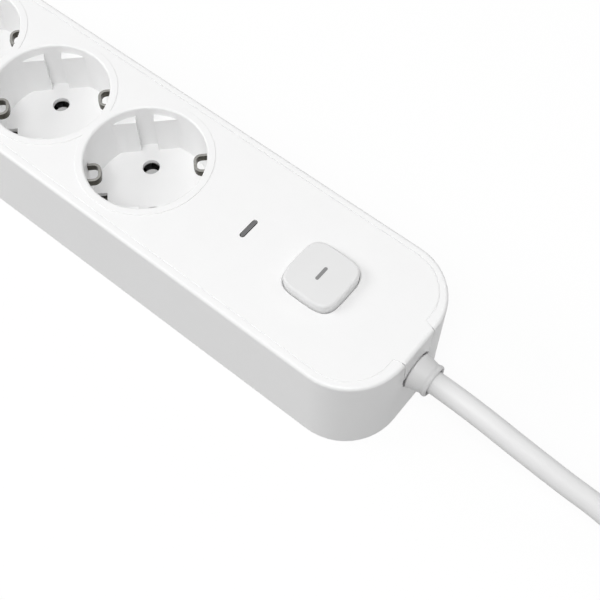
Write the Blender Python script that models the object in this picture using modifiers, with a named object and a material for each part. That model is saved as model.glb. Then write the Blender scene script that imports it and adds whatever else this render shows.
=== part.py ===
"""Three-socket power strip with a push switch, a pilot lamp and a moulded mains lead.

Units are metres and +Z is up. The origin is the middle of the case's underside,
+X runs along the strip towards the cable end and +Y across it.
"""
import math

import bmesh
import bpy
from mathutils import Matrix, Vector

# Case: a deep tray that shows all round, and a cover let into its top
CASE_WIDTH = 0.0550
CASE_HEIGHT = 0.0390
CORNER_RADIUS = 0.0195
RIM_ROUND = 0.0012
FOOT_ROUND = 0.0008
TRAY_WALL = 0.0024
TRAY_FLOOR = 0.0018
RIM_SIDE = 0.0026
RIM_END = 0.0035
LEDGE_WIDTH = 0.0014
LEDGE_HEIGHT = 0.0030
COVER_CORNER = 0.0152
COVER_THICKNESS = 0.0030
SEAM = 0.0003

# Sockets: round wells with earth clips, turned so that the pins lie on a diagonal
SOCKET_COUNT = 3
SOCKET_PITCH = 0.0427
FIRST_SOCKET_FROM_END = 0.1070
LAST_SOCKET_FROM_END = 0.0326
SOCKET_TURN = math.radians(45)
WELL_RADIUS = 0.0196
WELL_FLOOR_RADIUS = 0.0192
WELL_DEPTH = 0.0182
WELL_WALL = 0.0014
WELL_FLOOR = 0.0016
MOUTH_ROUND = 0.0008
RING_RADIUS = 0.0223
RING_HEIGHT = 0.00025
FLAT_DISTANCE = 0.0165
FLAT_LEDGE_DEPTH = 0.0032
GROOVE_WIDTH = 0.0058
PIN_SPACING = 0.0190
PIN_HOLE = 0.0058
PIN_DIAMETER = 0.0048
PIN_LENGTH = 0.0190

# Earth clips: U-shaped spring loops reaching through slits in the well wall
CLIP_TIP = 0.0148
CLIP_WIDTH = 0.0072
CLIP_STRIP = 0.0010
CLIP_HEIGHT = 0.0025
CLIP_DEPTH = 0.0056
CLIP_BEND = 0.0026
CLIP_SLOT_LENGTH = 0.0060
CLIP_SLOT_START = 0.0148
CLIP_SLOT_END = 0.0182
CLIP_SLOT_OFFSET = -0.0025
BRACKET_WIDTH = 0.0060
BRACKET_DROP = 0.0010
EARTH_RAIL_WIDTH = 0.0048
EARTH_TAIL_FROM_END = 0.0655

# Live and neutral rails with sprung leaves that grip the pins
RAIL_WIDTH = 0.0086
RAIL_STRIP = 0.0008
RAIL_HEIGHT = 0.0066
RAIL_TAIL_FROM_END = 0.0785
LEAF_STRIP = 0.0006
LEAF_LENGTH = 0.0060
LEAF_BELOW_CUP = 0.0016
LEAF_GRIP = 0.0021
LEAF_MOUTH = 0.0030
LEAF_FLARE = 0.0035

# Push switch
BUTTON_FROM_END = 0.0360
BUTTON_SIZE = 0.0192
BUTTON_SQUARENESS = 3.9
BUTTON_PROUD = 0.0030
BUTTON_TRAVEL = 0.0025
BUTTON_WALL = 0.0016
BUTTON_CROWN = 0.0024
BUTTON_EDGE = 0.0009
BUTTON_SKIRT = 0.0024
BUTTON_FLANGE = 0.0012
BUTTON_GAP = 0.0004
MARK_LENGTH = 0.0044
MARK_WIDTH = 0.0010
MARK_DEPTH = 0.0003
SWITCH_LENGTH = 0.0200
SWITCH_WIDTH = 0.0140
SWITCH_TOP = 0.0200
PLUNGER_SIZE = 0.0050
PLUNGER_DIP = 0.0050
SPRING_TURNS = 5
SPRING_RADIUS = 0.0046
SPRING_WIRE = 0.0007
SPRING_POINTS_PER_TURN = 10
TERMINAL_LENGTH = 0.0040
TERMINAL_WIDTH = 0.0040
TERMINAL_HEIGHT = 0.0080
TERMINAL_OFFSET = 0.0030

# Pilot lamp: a flush bar lens over a small lamp
LENS_FROM_END = 0.0641
LENS_LENGTH = 0.0070
LENS_WIDTH = 0.0012
LENS_FLANGE = 0.0011
LENS_SET_BACK = 0.0001
LAMP_RADIUS = 0.0023
LAMP_LENGTH = 0.0120
LAMP_RIB = 0.0012
LAMP_RIB_PLACE = 0.0050

# Cable entry
GLAND_Z = 0.0245
GLAND_BORE = 0.0039
GLAND_NECK = 0.0059
GLAND_NOSE = 0.0050
GLAND_LIP = 0.0054
GLAND_LENGTH = 0.0069
GLAND_LIP_LENGTH = 0.0018
GLAND_LIP_ROUND = 0.0005
GLAND_GAP = 0.0005
GLAND_FLANGE = 0.0082
GLAND_FLANGE_LENGTH = 0.0020
NOTCH_INNER = 0.0083
NOTCH_OUTER = 0.0070
TONGUE_OVER_AXIS = 0.0025
CLAMP_FROM_END = 0.0130
CLAMP_SPAN = 0.0085
CLAMP_WIDTH = 0.0060
CLAMP_THICKNESS = 0.0036
CLAMP_POST = 0.0028
SADDLE_LENGTH = 0.0080
SADDLE_WIDTH = 0.0064

# Fasteners and the underside
END_SCREW_INSET = (0.0140, 0.0105)
MIDDLE_SCREW_INSET = (0.0805, 0.0090)
FAR_SCREW_INSET = (0.0095, 0.0140)
SCREW_HEAD = 0.0030
SCREW_HEAD_HEIGHT = 0.0020
SCREW_HEAD_ROUND = 0.0007
CROSS_SLOT = (0.0036, 0.0013, 0.0012)
SCREW_SHANK = 0.0015
SCREW_LENGTH = 0.0130
SCREW_RECESS = 0.0044
POST_RADIUS = 0.0044
POST_HEIGHT = 0.0075
PILLAR_RADIUS = 0.0036
KEYHOLE_FROM_END = 0.0645
KEYHOLE_SPACING = 0.1065
KEYHOLE_ENTRY = 0.0043
KEYHOLE_ROOM = 0.0048
KEYHOLE_SLOT = 0.0022
KEYHOLE_REACH = 0.0085
KEYHOLE_DEPTH = 0.0043
KEYHOLE_BOSS = 0.0016

# Mains lead
CORD_DIAMETER = 0.0072
CORD_JOINT = 0.0003
CORD_INNER_LENGTH = 0.0165
CORD_ROUTE = (
    (0.0069, 0.0000, 0.0245),
    (0.0155, 0.0001, 0.0240),
    (0.0245, 0.0004, 0.0225),
    (0.0345, 0.0008, 0.0200),
    (0.0445, 0.0014, 0.0172),
    (0.0545, 0.0022, 0.0142),
    (0.0645, 0.0032, 0.0112),
    (0.0715, 0.0033, 0.0089),
    (0.0785, 0.0026, 0.0065),
    (0.0855, 0.0017, 0.0046),
)
HANK_CENTRE = (0.1250, 0.0305)
HANK_RUN = 0.0500
HANK_RADIUS = 0.0293
HANK_TURNS = 4.56
HANK_PITCH = 0.0077
HANK_LAYER = 0.0077
HANK_REST = 0.0038
HANK_SHIFTS = ((0.69, 1.00, 1), (2.19, 2.50, -1), (3.69, 4.00, 1))
HANK_CLIMBS = ((1.50, 1.69), (2.85, 3.19))
HANK_POINTS_PER_TURN = 40
TIE_ALONG = 0.0010
TIE_LIFT = 0.0014
TIE_LIFT_SPREAD = 0.0160
TIE_WIDTH = 0.0080
TIE_STRIP = 0.0009
TIE_GAP = 0.0006
TAIL_ROUTE = (
    (0.1150, 0.0521, 0.0202),
    (0.1030, 0.0521, 0.0211),
    (0.0975, 0.0521, 0.0220),
    (0.0926, 0.0515, 0.0235),
    (0.0881, 0.0500, 0.0254),
    (0.0806, 0.0440, 0.0292),
    (0.0764, 0.0353, 0.0329),
    (0.0764, 0.0257, 0.0363),
    (0.0806, 0.0170, 0.0392),
    (0.0881, 0.0110, 0.0413),
    (0.0926, 0.0095, 0.0419),
)

# Mains plug
PLUG_RADIUS = 0.0187
PLUG_EDGE = 0.0008
PLUG_FLAT = 0.0161
PLUG_COLLAR = 0.0200
PLUG_LENGTH = 0.0380
PLUG_SHOULDER = (0.0150, 0.0250)
PLUG_WAIST = (0.0145, 0.0300)
PLUG_NECK = 0.0085
PLUG_NECK_ROUND = 0.0015
PLUG_SLEEVE_LENGTH = 0.0240
PLUG_SLEEVE_START = 0.0062
PLUG_SLEEVE_END = 0.0046
PLUG_BACK = (0.1015, 0.0089, 0.0423)
PLUG_ROLL = math.radians(45)
PLUG_STRIP_WIDTH = 0.0046
PLUG_STRIP_LENGTH = 0.0130
PLUG_STRIP_THICKNESS = 0.0008
PLUG_STRIP_INSET = 0.0006
PLUG_PIN_ROOT = 0.0100
PLUG_PIN_ROUND = 0.0012

# Leads inside the case
LEAD_RADIUS = 0.0012

# Round counts and the angle from which an edge is drawn sharp
ROUND_STEPS = 40
SMALL_STEPS = 12
FINE_STEPS = 20
CORNER_STEPS = 12
BEND_STEPS = 5
EDGE_STEPS = 3
SHARP_ANGLE = math.radians(35)

# Distances that follow from the sizes above
CASE_LENGTH = FIRST_SOCKET_FROM_END + SOCKET_PITCH * (SOCKET_COUNT - 1) + LAST_SOCKET_FROM_END
CABLE_END = CASE_LENGTH / 2
COVER_UNDER = CASE_HEIGHT - COVER_THICKNESS
RECESS_FLOOR = COVER_UNDER - SEAM
LEDGE_UNDER = RECESS_FLOOR - LEDGE_HEIGHT
WELL_BOTTOM = CASE_HEIGHT - WELL_DEPTH
CUP_UNDER = WELL_BOTTOM - WELL_FLOOR
SOCKET_XS = [CABLE_END - FIRST_SOCKET_FROM_END - SOCKET_PITCH * i for i in range(SOCKET_COUNT)]
PIN_OFFSET = PIN_SPACING / 2 * math.sin(SOCKET_TURN)
BRACKET_TOP = CUP_UNDER - BRACKET_DROP
BRACKET_LEG = WELL_RADIUS + WELL_WALL + SEAM
EARTH_RAIL_TOP = BRACKET_TOP - CLIP_STRIP - SEAM
BUTTON_X = CABLE_END - BUTTON_FROM_END
LENS_X = CABLE_END - LENS_FROM_END
LAMP_Z = COVER_UNDER - 2 * SEAM - LENS_FLANGE - LAMP_RADIUS
PLUNGER_TOP = COVER_UNDER
CORD_RADIUS = CORD_DIAMETER / 2
CORD_START = CABLE_END + CORD_JOINT
CORD_INNER_END = CABLE_END - CORD_INNER_LENGTH
CLAMP_X = CABLE_END - CLAMP_FROM_END
RAIL_TAIL_X = CABLE_END - RAIL_TAIL_FROM_END
EARTH_TAIL_X = CABLE_END - EARTH_TAIL_FROM_END
LEAF_TOP = CUP_UNDER - LEAF_BELOW_CUP
KEYHOLE_PLACES = (CABLE_END - KEYHOLE_FROM_END, CABLE_END - KEYHOLE_FROM_END - KEYHOLE_SPACING)
HANK_MIDDLE = (CABLE_END + HANK_CENTRE[0], HANK_CENTRE[1])
HANK_MID_RADIUS = HANK_RADIUS - HANK_PITCH / 2
TIE_PLACE = (HANK_MIDDLE[0] + TIE_ALONG, HANK_MIDDLE[1] - HANK_MID_RADIUS)
PLUG_END = (CABLE_END + PLUG_BACK[0], PLUG_BACK[1], PLUG_BACK[2])
OVERRUN = 0.0010
HAIR = 0.000002

# Turns a shape drawn flat so that its own X, Y and Z become the case's Y, Z and X
UPRIGHT = Matrix(((0, 0, 1, 0), (1, 0, 0, 0), (0, 1, 0, 0), (0, 0, 0, 1)))


def clear_scene():
    for thing in list(bpy.data.objects):
        bpy.data.objects.remove(thing, do_unlink=True)
    for group in list(bpy.data.collections):
        bpy.data.collections.remove(group)


def new_collection(name):
    group = bpy.data.collections.new(name)
    bpy.context.scene.collection.children.link(group)
    return group


def material(name, colour, roughness, metallic=0.0):
    finish = bpy.data.materials.new(name)
    finish.use_nodes = True
    shader = finish.node_tree.nodes["Principled BSDF"]
    shader.inputs["Base Color"].default_value = (*colour, 1.0)
    shader.inputs["Roughness"].default_value = roughness
    shader.inputs["Metallic"].default_value = metallic
    return finish


clear_scene()
PARTS = new_collection("power_strip")
CUTTERS = new_collection("cutters")

WHITE_ABS = material("white_abs", (0.86, 0.86, 0.85), 0.42)
BUTTON_ABS = material("button_abs", (0.78, 0.78, 0.77), 0.40)
LENS_GREY = material("smoked_lens", (0.12, 0.12, 0.12), 0.25)
LAMP_GLASS = material("lamp_glass", (0.75, 0.45, 0.25), 0.10)
SWITCH_NYLON = material("black_nylon", (0.03, 0.03, 0.03), 0.45)
SPRING_STEEL = material("nickel_spring_steel", (0.55, 0.54, 0.51), 0.30, 1.0)
BRASS = material("brass_strip", (0.72, 0.55, 0.26), 0.32, 1.0)
ZINC = material("zinc_plated_steel", (0.60, 0.60, 0.60), 0.35, 1.0)
NICKEL = material("nickel_plated_brass", (0.66, 0.64, 0.60), 0.22, 1.0)
SOFT_PVC = material("white_pvc", (0.80, 0.80, 0.79), 0.50)
BROWN_PVC = material("brown_pvc", (0.16, 0.06, 0.03), 0.50)
BLUE_PVC = material("blue_pvc", (0.04, 0.14, 0.45), 0.50)
EARTH_PVC = material("green_yellow_pvc", (0.45, 0.55, 0.06), 0.50)
TIE_NYLON = material("white_hook_tape", (0.82, 0.82, 0.81), 0.75)


def add_object(name, data, place=None):
    """Put a helper shape in the cutters' collection, out of the finished model."""
    thing = bpy.data.objects.new(name, data)
    CUTTERS.objects.link(thing)
    thing.hide_render = True
    thing.display_type = "WIRE"
    if place is not None:
        thing.matrix_world = place
    return thing


def as_part(thing, name, finish):
    """Make a helper shape one of the strip's own pieces."""
    CUTTERS.objects.unlink(thing)
    PARTS.objects.link(thing)
    thing.hide_render = False
    thing.display_type = "TEXTURED"
    thing.name = name
    thing.data.name = name
    thing.data.materials.clear()
    thing.data.materials.append(finish)
    if thing.type == "MESH":
        thing.data.shade_smooth()
        thing.data.set_sharp_from_angle(angle=SHARP_ANGLE)
    return thing


def from_bmesh(name, shape, place=None):
    data = bpy.data.meshes.new(name)
    bmesh.ops.recalc_face_normals(shape, faces=shape.faces)
    shape.to_mesh(data)
    shape.free()
    return add_object(name, data, place)


def box(name, low, high, place=None):
    shape = bmesh.new()
    bmesh.ops.create_cube(shape, size=1.0)
    size = Vector(high) - Vector(low)
    middle = (Vector(high) + Vector(low)) / 2
    bmesh.ops.scale(shape, vec=size, verts=shape.verts)
    bmesh.ops.translate(shape, vec=middle, verts=shape.verts)
    return from_bmesh(name, shape, place)


def cylinder(name, radius, low, high, place=None, steps=SMALL_STEPS, top_radius=None):
    shape = bmesh.new()
    bmesh.ops.create_cone(
        shape, cap_ends=True, segments=steps, depth=high - low,
        radius1=radius, radius2=radius if top_radius is None else top_radius,
    )
    bmesh.ops.translate(shape, vec=(0, 0, (low + high) / 2), verts=shape.verts)
    return from_bmesh(name, shape, place)


def prism(name, outline, low, high, place=None):
    """Fill a closed outline and give it thickness between two heights."""
    curve = bpy.data.curves.new(name, "CURVE")
    curve.dimensions = "2D"
    curve.fill_mode = "BOTH"
    curve.extrude = (high - low) / 2
    spline = curve.splines.new("POLY")
    spline.points.add(len(outline) - 1)
    for point, (x, y) in zip(spline.points, outline):
        point.co = (x, y, 0, 1)
    spline.use_cyclic_u = True
    drawn = add_object(name, curve)
    graph = bpy.context.evaluated_depsgraph_get()
    data = bpy.data.meshes.new_from_object(drawn.evaluated_get(graph))
    bpy.data.objects.remove(drawn, do_unlink=True)
    shape = bmesh.new()
    shape.from_mesh(data)
    bpy.data.meshes.remove(data)
    bmesh.ops.remove_doubles(shape, verts=shape.verts, dist=1e-6)
    bmesh.ops.dissolve_limit(shape, angle_limit=0.005, verts=shape.verts, edges=shape.edges)
    bmesh.ops.translate(shape, vec=(0, 0, (low + high) / 2), verts=shape.verts)
    return from_bmesh(name, shape, place)


def turned(name, profile, place=None, steps=ROUND_STEPS, closed=False):
    """Spin a profile of (radius, height) points, listed from top to bottom, about Z."""
    shape = bmesh.new()
    points = [shape.verts.new((radius, 0, height)) for radius, height in profile]
    for first, second in zip(points, points[1:]):
        shape.edges.new((first, second))
    if closed:
        shape.edges.new((points[-1], points[0]))
    data = bpy.data.meshes.new(name)
    shape.to_mesh(data)
    shape.free()
    thing = add_object(name, data, place)
    spin = thing.modifiers.new("spin", "SCREW")
    spin.axis = "Z"
    spin.steps = steps
    spin.render_steps = steps
    spin.use_merge_vertices = True
    spin.merge_threshold = 0.00001
    return thing


def tube(name, points, radius, resolution, finish):
    curve = bpy.data.curves.new(name, "CURVE")
    curve.dimensions = "3D"
    curve.bevel_depth = radius
    curve.bevel_resolution = resolution
    curve.use_fill_caps = True
    spline = curve.splines.new("POLY")
    spline.points.add(len(points) - 1)
    for point, place in zip(spline.points, points):
        point.co = (*place, 1)
    return as_part(add_object(name, curve), name, finish)


def combine(target, tool, operation):
    step = target.modifiers.new(tool.name, "BOOLEAN")
    step.operation = operation
    step.solver = "EXACT"
    step.object = tool


def cut(target, *tools):
    for tool in tools:
        combine(target, tool, "DIFFERENCE")


def join(target, *tools):
    for tool in tools:
        combine(target, tool, "UNION")


def at(x=0.0, y=0.0, z=0.0, turn=0.0):
    return Matrix.Translation((x, y, z)) @ Matrix.Rotation(turn, 4, "Z")


def arc(centre, radius, start, end, steps):
    """Points on an arc, with angles in degrees, both ends included."""
    angles = [math.radians(start + (end - start) * i / steps) for i in range(steps + 1)]
    return [(centre[0] + radius * math.cos(a), centre[1] + radius * math.sin(a)) for a in angles]


def rounded_outline(length, width, radius, steps=CORNER_STEPS):
    """A rectangle about the origin with round corners."""
    x = length / 2 - radius
    y = width / 2 - radius
    outline = []
    for corner, start in (((x, y), 0), ((-x, y), 90), ((-x, -y), 180), ((x, -y), 270)):
        outline += arc(corner, radius, start, start + 90, steps)
    return outline


def round_ended(width, length):
    """A bar along Y with half-round ends."""
    return rounded_outline(width, length, width / 2 - HAIR, BEND_STEPS)


def soft_square(size, steps=FINE_STEPS * 2):
    """A square with bulging sides, the outline of the push button."""
    power = 2 / BUTTON_SQUARENESS
    outline = []
    for i in range(steps):
        c = math.cos(2 * math.pi * i / steps)
        s = math.sin(2 * math.pi * i / steps)
        x = math.copysign(abs(c) ** power, c) * size / 2
        y = math.copysign(abs(s) ** power, s) * size / 2
        outline.append((x, y))
    return outline


def round_edge(thing, height, width, steps):
    """Round the outline edge of a prism at one height."""
    shape = bmesh.new()
    shape.from_mesh(thing.data)
    edges = [e for e in shape.edges if all(abs(v.co.z - height) < 1e-6 for v in e.verts)]
    bmesh.ops.bevel(
        shape, geom=edges, offset=width, offset_type="OFFSET", affect="EDGES",
        segments=steps, profile=0.5, material=-1, clamp_overlap=True,
    )
    shape.to_mesh(thing.data)
    shape.free()


def smooth_route(points, steps):
    """Read extra points from a smooth curve that passes through every given point."""
    knots = [Vector(p) for p in points]
    runs = [(end - start).length for start, end in zip(knots, knots[1:])]
    slopes = [(end - start) / run for start, end, run in zip(knots, knots[1:], runs)]
    leans = [slopes[0]] + [(a + b) / 2 for a, b in zip(slopes, slopes[1:])] + [slopes[-1]]
    route = []
    for i, run in enumerate(runs):
        for k in range(steps):
            t = k / steps
            rise = t * t * (3 - 2 * t)
            route.append(
                knots[i] * (1 - rise) + knots[i + 1] * rise
                + leans[i] * run * t * (1 - t) ** 2 - leans[i + 1] * run * t * t * (1 - t)
            )
    route.append(knots[-1])
    return route


def case_blank(name):
    blank = prism(name, rounded_outline(CASE_LENGTH, CASE_WIDTH, CORNER_RADIUS), 0, CASE_HEIGHT)
    round_edge(blank, CASE_HEIGHT, RIM_ROUND, EDGE_STEPS)
    round_edge(blank, 0, FOOT_ROUND, EDGE_STEPS - 1)
    return blank


def cable_slot_outline(gap):
    """The end wall's opening seen from the end: tapered sides over a half round."""
    top = CASE_HEIGHT + OVERRUN
    radius = GLAND_NECK + GLAND_GAP - gap
    outline = [(-NOTCH_OUTER + gap, top)]
    outline += arc((0, GLAND_Z), radius, 180, 360, SMALL_STEPS)
    outline.append((NOTCH_OUTER - gap, top))
    return outline


def notch_outline(gap):
    """The gap in the rim seen from above, narrower at the outside."""
    inner = CABLE_END - RIM_END - OVERRUN
    outer = CABLE_END + OVERRUN
    return [
        (inner, -NOTCH_INNER + gap), (outer, -NOTCH_OUTER + gap),
        (outer, NOTCH_OUTER - gap), (inner, NOTCH_INNER - gap),
    ]


def screw_spots():
    """Three pairs of screws: at the far end, beyond the sockets and at the cable end."""
    places = [(FAR_SCREW_INSET[0] - CABLE_END, FAR_SCREW_INSET[1])]
    places += [(CABLE_END - along, across) for along, across in (MIDDLE_SCREW_INSET, END_SCREW_INSET)]
    return [(x, side * (CASE_WIDTH / 2 - inset)) for x, inset in places for side in (1, -1)]


def from_cable_end(points):
    return [(CABLE_END + x, y, z) for x, y, z in points]


def keyhole_room(radius):
    """A long round-ended shape from the keyhole's entry to the end of its slot."""
    return arc((0, 0), radius, 90, 270, SMALL_STEPS) + arc((KEYHOLE_REACH, 0), radius, -90, 90, SMALL_STEPS)


def keyhole_outline():
    """A round entry that narrows to a slot, seen from below."""
    side = math.degrees(math.asin(KEYHOLE_SLOT / KEYHOLE_ENTRY))
    outline = arc((0, 0), KEYHOLE_ENTRY, side, 360 - side, SMALL_STEPS)
    outline += arc((KEYHOLE_REACH, 0), KEYHOLE_SLOT, -90, 90, SMALL_STEPS // 2)
    return outline


def base_tray():
    tray = case_blank("tray_blank")
    opening = rounded_outline(CASE_LENGTH - 2 * RIM_END, CASE_WIDTH - 2 * RIM_SIDE, COVER_CORNER)
    neck = rounded_outline(
        CASE_LENGTH - 2 * (RIM_END + LEDGE_WIDTH), CASE_WIDTH - 2 * (RIM_SIDE + LEDGE_WIDTH),
        COVER_CORNER - LEDGE_WIDTH,
    )
    room = rounded_outline(
        CASE_LENGTH - 2 * TRAY_WALL, CASE_WIDTH - 2 * TRAY_WALL, CORNER_RADIUS - TRAY_WALL,
    )
    cut(tray, prism("cover_recess", opening, RECESS_FLOOR, CASE_HEIGHT + OVERRUN))
    cut(tray, prism("ledge_opening", neck, LEDGE_UNDER - OVERRUN, RECESS_FLOOR + OVERRUN))
    cut(tray, prism("tray_room", room, TRAY_FLOOR, LEDGE_UNDER))
    root = TRAY_FLOOR - OVERRUN
    for number, (x, y) in enumerate(screw_spots(), 1):
        join(tray, cylinder(f"screw_post_{number}", POST_RADIUS, root, POST_HEIGHT, at(x, y)))
    for x in KEYHOLE_PLACES:
        boss = keyhole_room(KEYHOLE_ROOM + KEYHOLE_BOSS)
        join(tray, prism("keyhole_boss", boss, root, KEYHOLE_DEPTH + KEYHOLE_BOSS, at(x)))
    for side in (1, -1):
        for number in range(SOCKET_COUNT):
            x = SOCKET_XS[number] - side * PIN_OFFSET
            low = (x - LEAF_LENGTH / 2, side * PIN_OFFSET - RAIL_WIDTH / 2, root)
            high = (x + LEAF_LENGTH / 2, side * PIN_OFFSET + RAIL_WIDTH / 2, RAIL_HEIGHT - SEAM)
            join(tray, box("rail_rest", low, high))
        post = at(CLAMP_X, side * CLAMP_SPAN)
        join(tray, cylinder("clamp_post", CLAMP_POST, root, GLAND_Z + CORD_RADIUS, post))
    saddle_top = GLAND_Z - CORD_RADIUS - SEAM
    join(tray, box(
        "cord_saddle", (CLAMP_X - SADDLE_LENGTH / 2, -SADDLE_WIDTH / 2, root),
        (CLAMP_X + SADDLE_LENGTH / 2, SADDLE_WIDTH / 2, saddle_top),
    ))
    cut(tray, prism("rim_notch", notch_outline(0), RECESS_FLOOR, CASE_HEIGHT + OVERRUN))
    wall_start = CABLE_END - RIM_END - LEDGE_WIDTH - OVERRUN
    cut(tray, prism("cable_slot", cable_slot_outline(0), wall_start, CABLE_END + OVERRUN, UPRIGHT))
    for number, (x, y) in enumerate(screw_spots(), 1):
        hole = SCREW_SHANK + SEAM
        recess = SCREW_HEAD + SEAM
        cut(tray, cylinder(f"screw_recess_{number}", recess, -OVERRUN, SCREW_RECESS, at(x, y)))
        cut(tray, cylinder(f"screw_hole_{number}", hole, 0, POST_HEIGHT + OVERRUN, at(x, y)))
    for x in KEYHOLE_PLACES:
        cut(tray, prism("keyhole", keyhole_outline(), -OVERRUN, TRAY_FLOOR + OVERRUN, at(x)))
        cut(tray, prism("keyhole_room", keyhole_room(KEYHOLE_ROOM), TRAY_FLOOR, KEYHOLE_DEPTH, at(x)))
    for side in (1, -1):
        for number in range(SOCKET_COUNT):
            x = SOCKET_XS[number] - side * PIN_OFFSET
            spot = at(x, side * PIN_OFFSET)
            cut(tray, cylinder("pin_room", PIN_HOLE / 2, TRAY_FLOOR, RAIL_HEIGHT, spot))
        thread = at(CLAMP_X, side * CLAMP_SPAN)
        depth = GLAND_Z + CORD_RADIUS - SCREW_LENGTH
        top = GLAND_Z + CORD_RADIUS + OVERRUN
        cut(tray, cylinder("clamp_thread", SCREW_SHANK + SEAM, depth, top, thread, steps=FINE_STEPS // 2))
    return as_part(tray, "base_tray", WHITE_ABS)


def well_space(name, x):
    """The room inside one well: a tapered bore, less the four flat-fronted blocks."""
    rim = CASE_HEIGHT + RING_HEIGHT
    mouth = arc((WELL_RADIUS + MOUTH_ROUND, rim - MOUTH_ROUND), MOUTH_ROUND, 90, 180, EDGE_STEPS)
    profile = [(0, rim + OVERRUN), (WELL_RADIUS + MOUTH_ROUND, rim + OVERRUN)] + mouth
    profile += [(WELL_FLOOR_RADIUS, WELL_BOTTOM), (0, WELL_BOTTOM)]
    space = turned(name, profile, at(x, turn=SOCKET_TURN))
    reach = WELL_RADIUS + OVERRUN
    top = CASE_HEIGHT - FLAT_LEDGE_DEPTH
    for across in (1, -1):
        for along in (1, -1):
            near = (along * GROOVE_WIDTH / 2, across * FLAT_DISTANCE)
            far = (along * reach, across * reach)
            low = (min(near[0], far[0]), min(near[1], far[1]), WELL_BOTTOM - OVERRUN)
            high = (max(near[0], far[0]), max(near[1], far[1]), top)
            cut(space, box("flat_block", low, high, at(x, turn=SOCKET_TURN)))
    return space


def cut_clip_openings(cover, x):
    """Slits for the clip's two arms and the open slot under each clip."""
    frame = at(x, turn=SOCKET_TURN)
    top = CASE_HEIGHT - CLIP_DEPTH + SEAM
    low = CASE_HEIGHT - CLIP_DEPTH - CLIP_HEIGHT - SEAM
    inner = WELL_FLOOR_RADIUS - 2 * OVERRUN
    outer = BRACKET_LEG + OVERRUN
    arm = CLIP_WIDTH / 2 - CLIP_STRIP / 2
    half = CLIP_STRIP / 2 + SEAM
    slot_low = CLIP_SLOT_OFFSET - CLIP_SLOT_LENGTH / 2
    slot_high = CLIP_SLOT_OFFSET + CLIP_SLOT_LENGTH / 2
    for end in (1, -1):
        near, far = sorted((end * inner, end * outer))
        for side in (1, -1):
            middle = side * arm
            cut(cover, box("arm_slit", (near, middle - half, low), (far, middle + half, top), frame))
        near, far = sorted((end * CLIP_SLOT_START, end * CLIP_SLOT_END))
        cut(cover, box(
            "clip_slot", (near, slot_low, CUP_UNDER - OVERRUN),
            (far, slot_high, WELL_BOTTOM + OVERRUN), frame,
        ))


def cover_tongue():
    """The tab that closes the rim notch and the end wall above the gland."""
    notch = notch_outline(SEAM)
    tongue = prism("tongue", notch, COVER_UNDER, CASE_HEIGHT + OVERRUN)
    drop_start = CABLE_END - RIM_END
    drop = prism("tongue_drop", cable_slot_outline(SEAM), drop_start, CABLE_END + OVERRUN, UPRIGHT)
    bottom = GLAND_Z + TONGUE_OVER_AXIS
    reach = CASE_WIDTH / 2
    cut(drop, box("tongue_end", (drop_start - OVERRUN, -reach, 0), (CABLE_END + 2 * OVERRUN, reach, bottom)))
    around = Matrix.Translation((0, 0, GLAND_Z)) @ UPRIGHT
    cut(drop, cylinder(
        "gland_room", GLAND_NECK + GLAND_GAP, drop_start - OVERRUN, CABLE_END + 2 * OVERRUN, around,
        steps=FINE_STEPS,
    ))
    join(tongue, drop)
    combine(tongue, case_blank("tongue_trim"), "INTERSECT")
    return tongue


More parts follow.
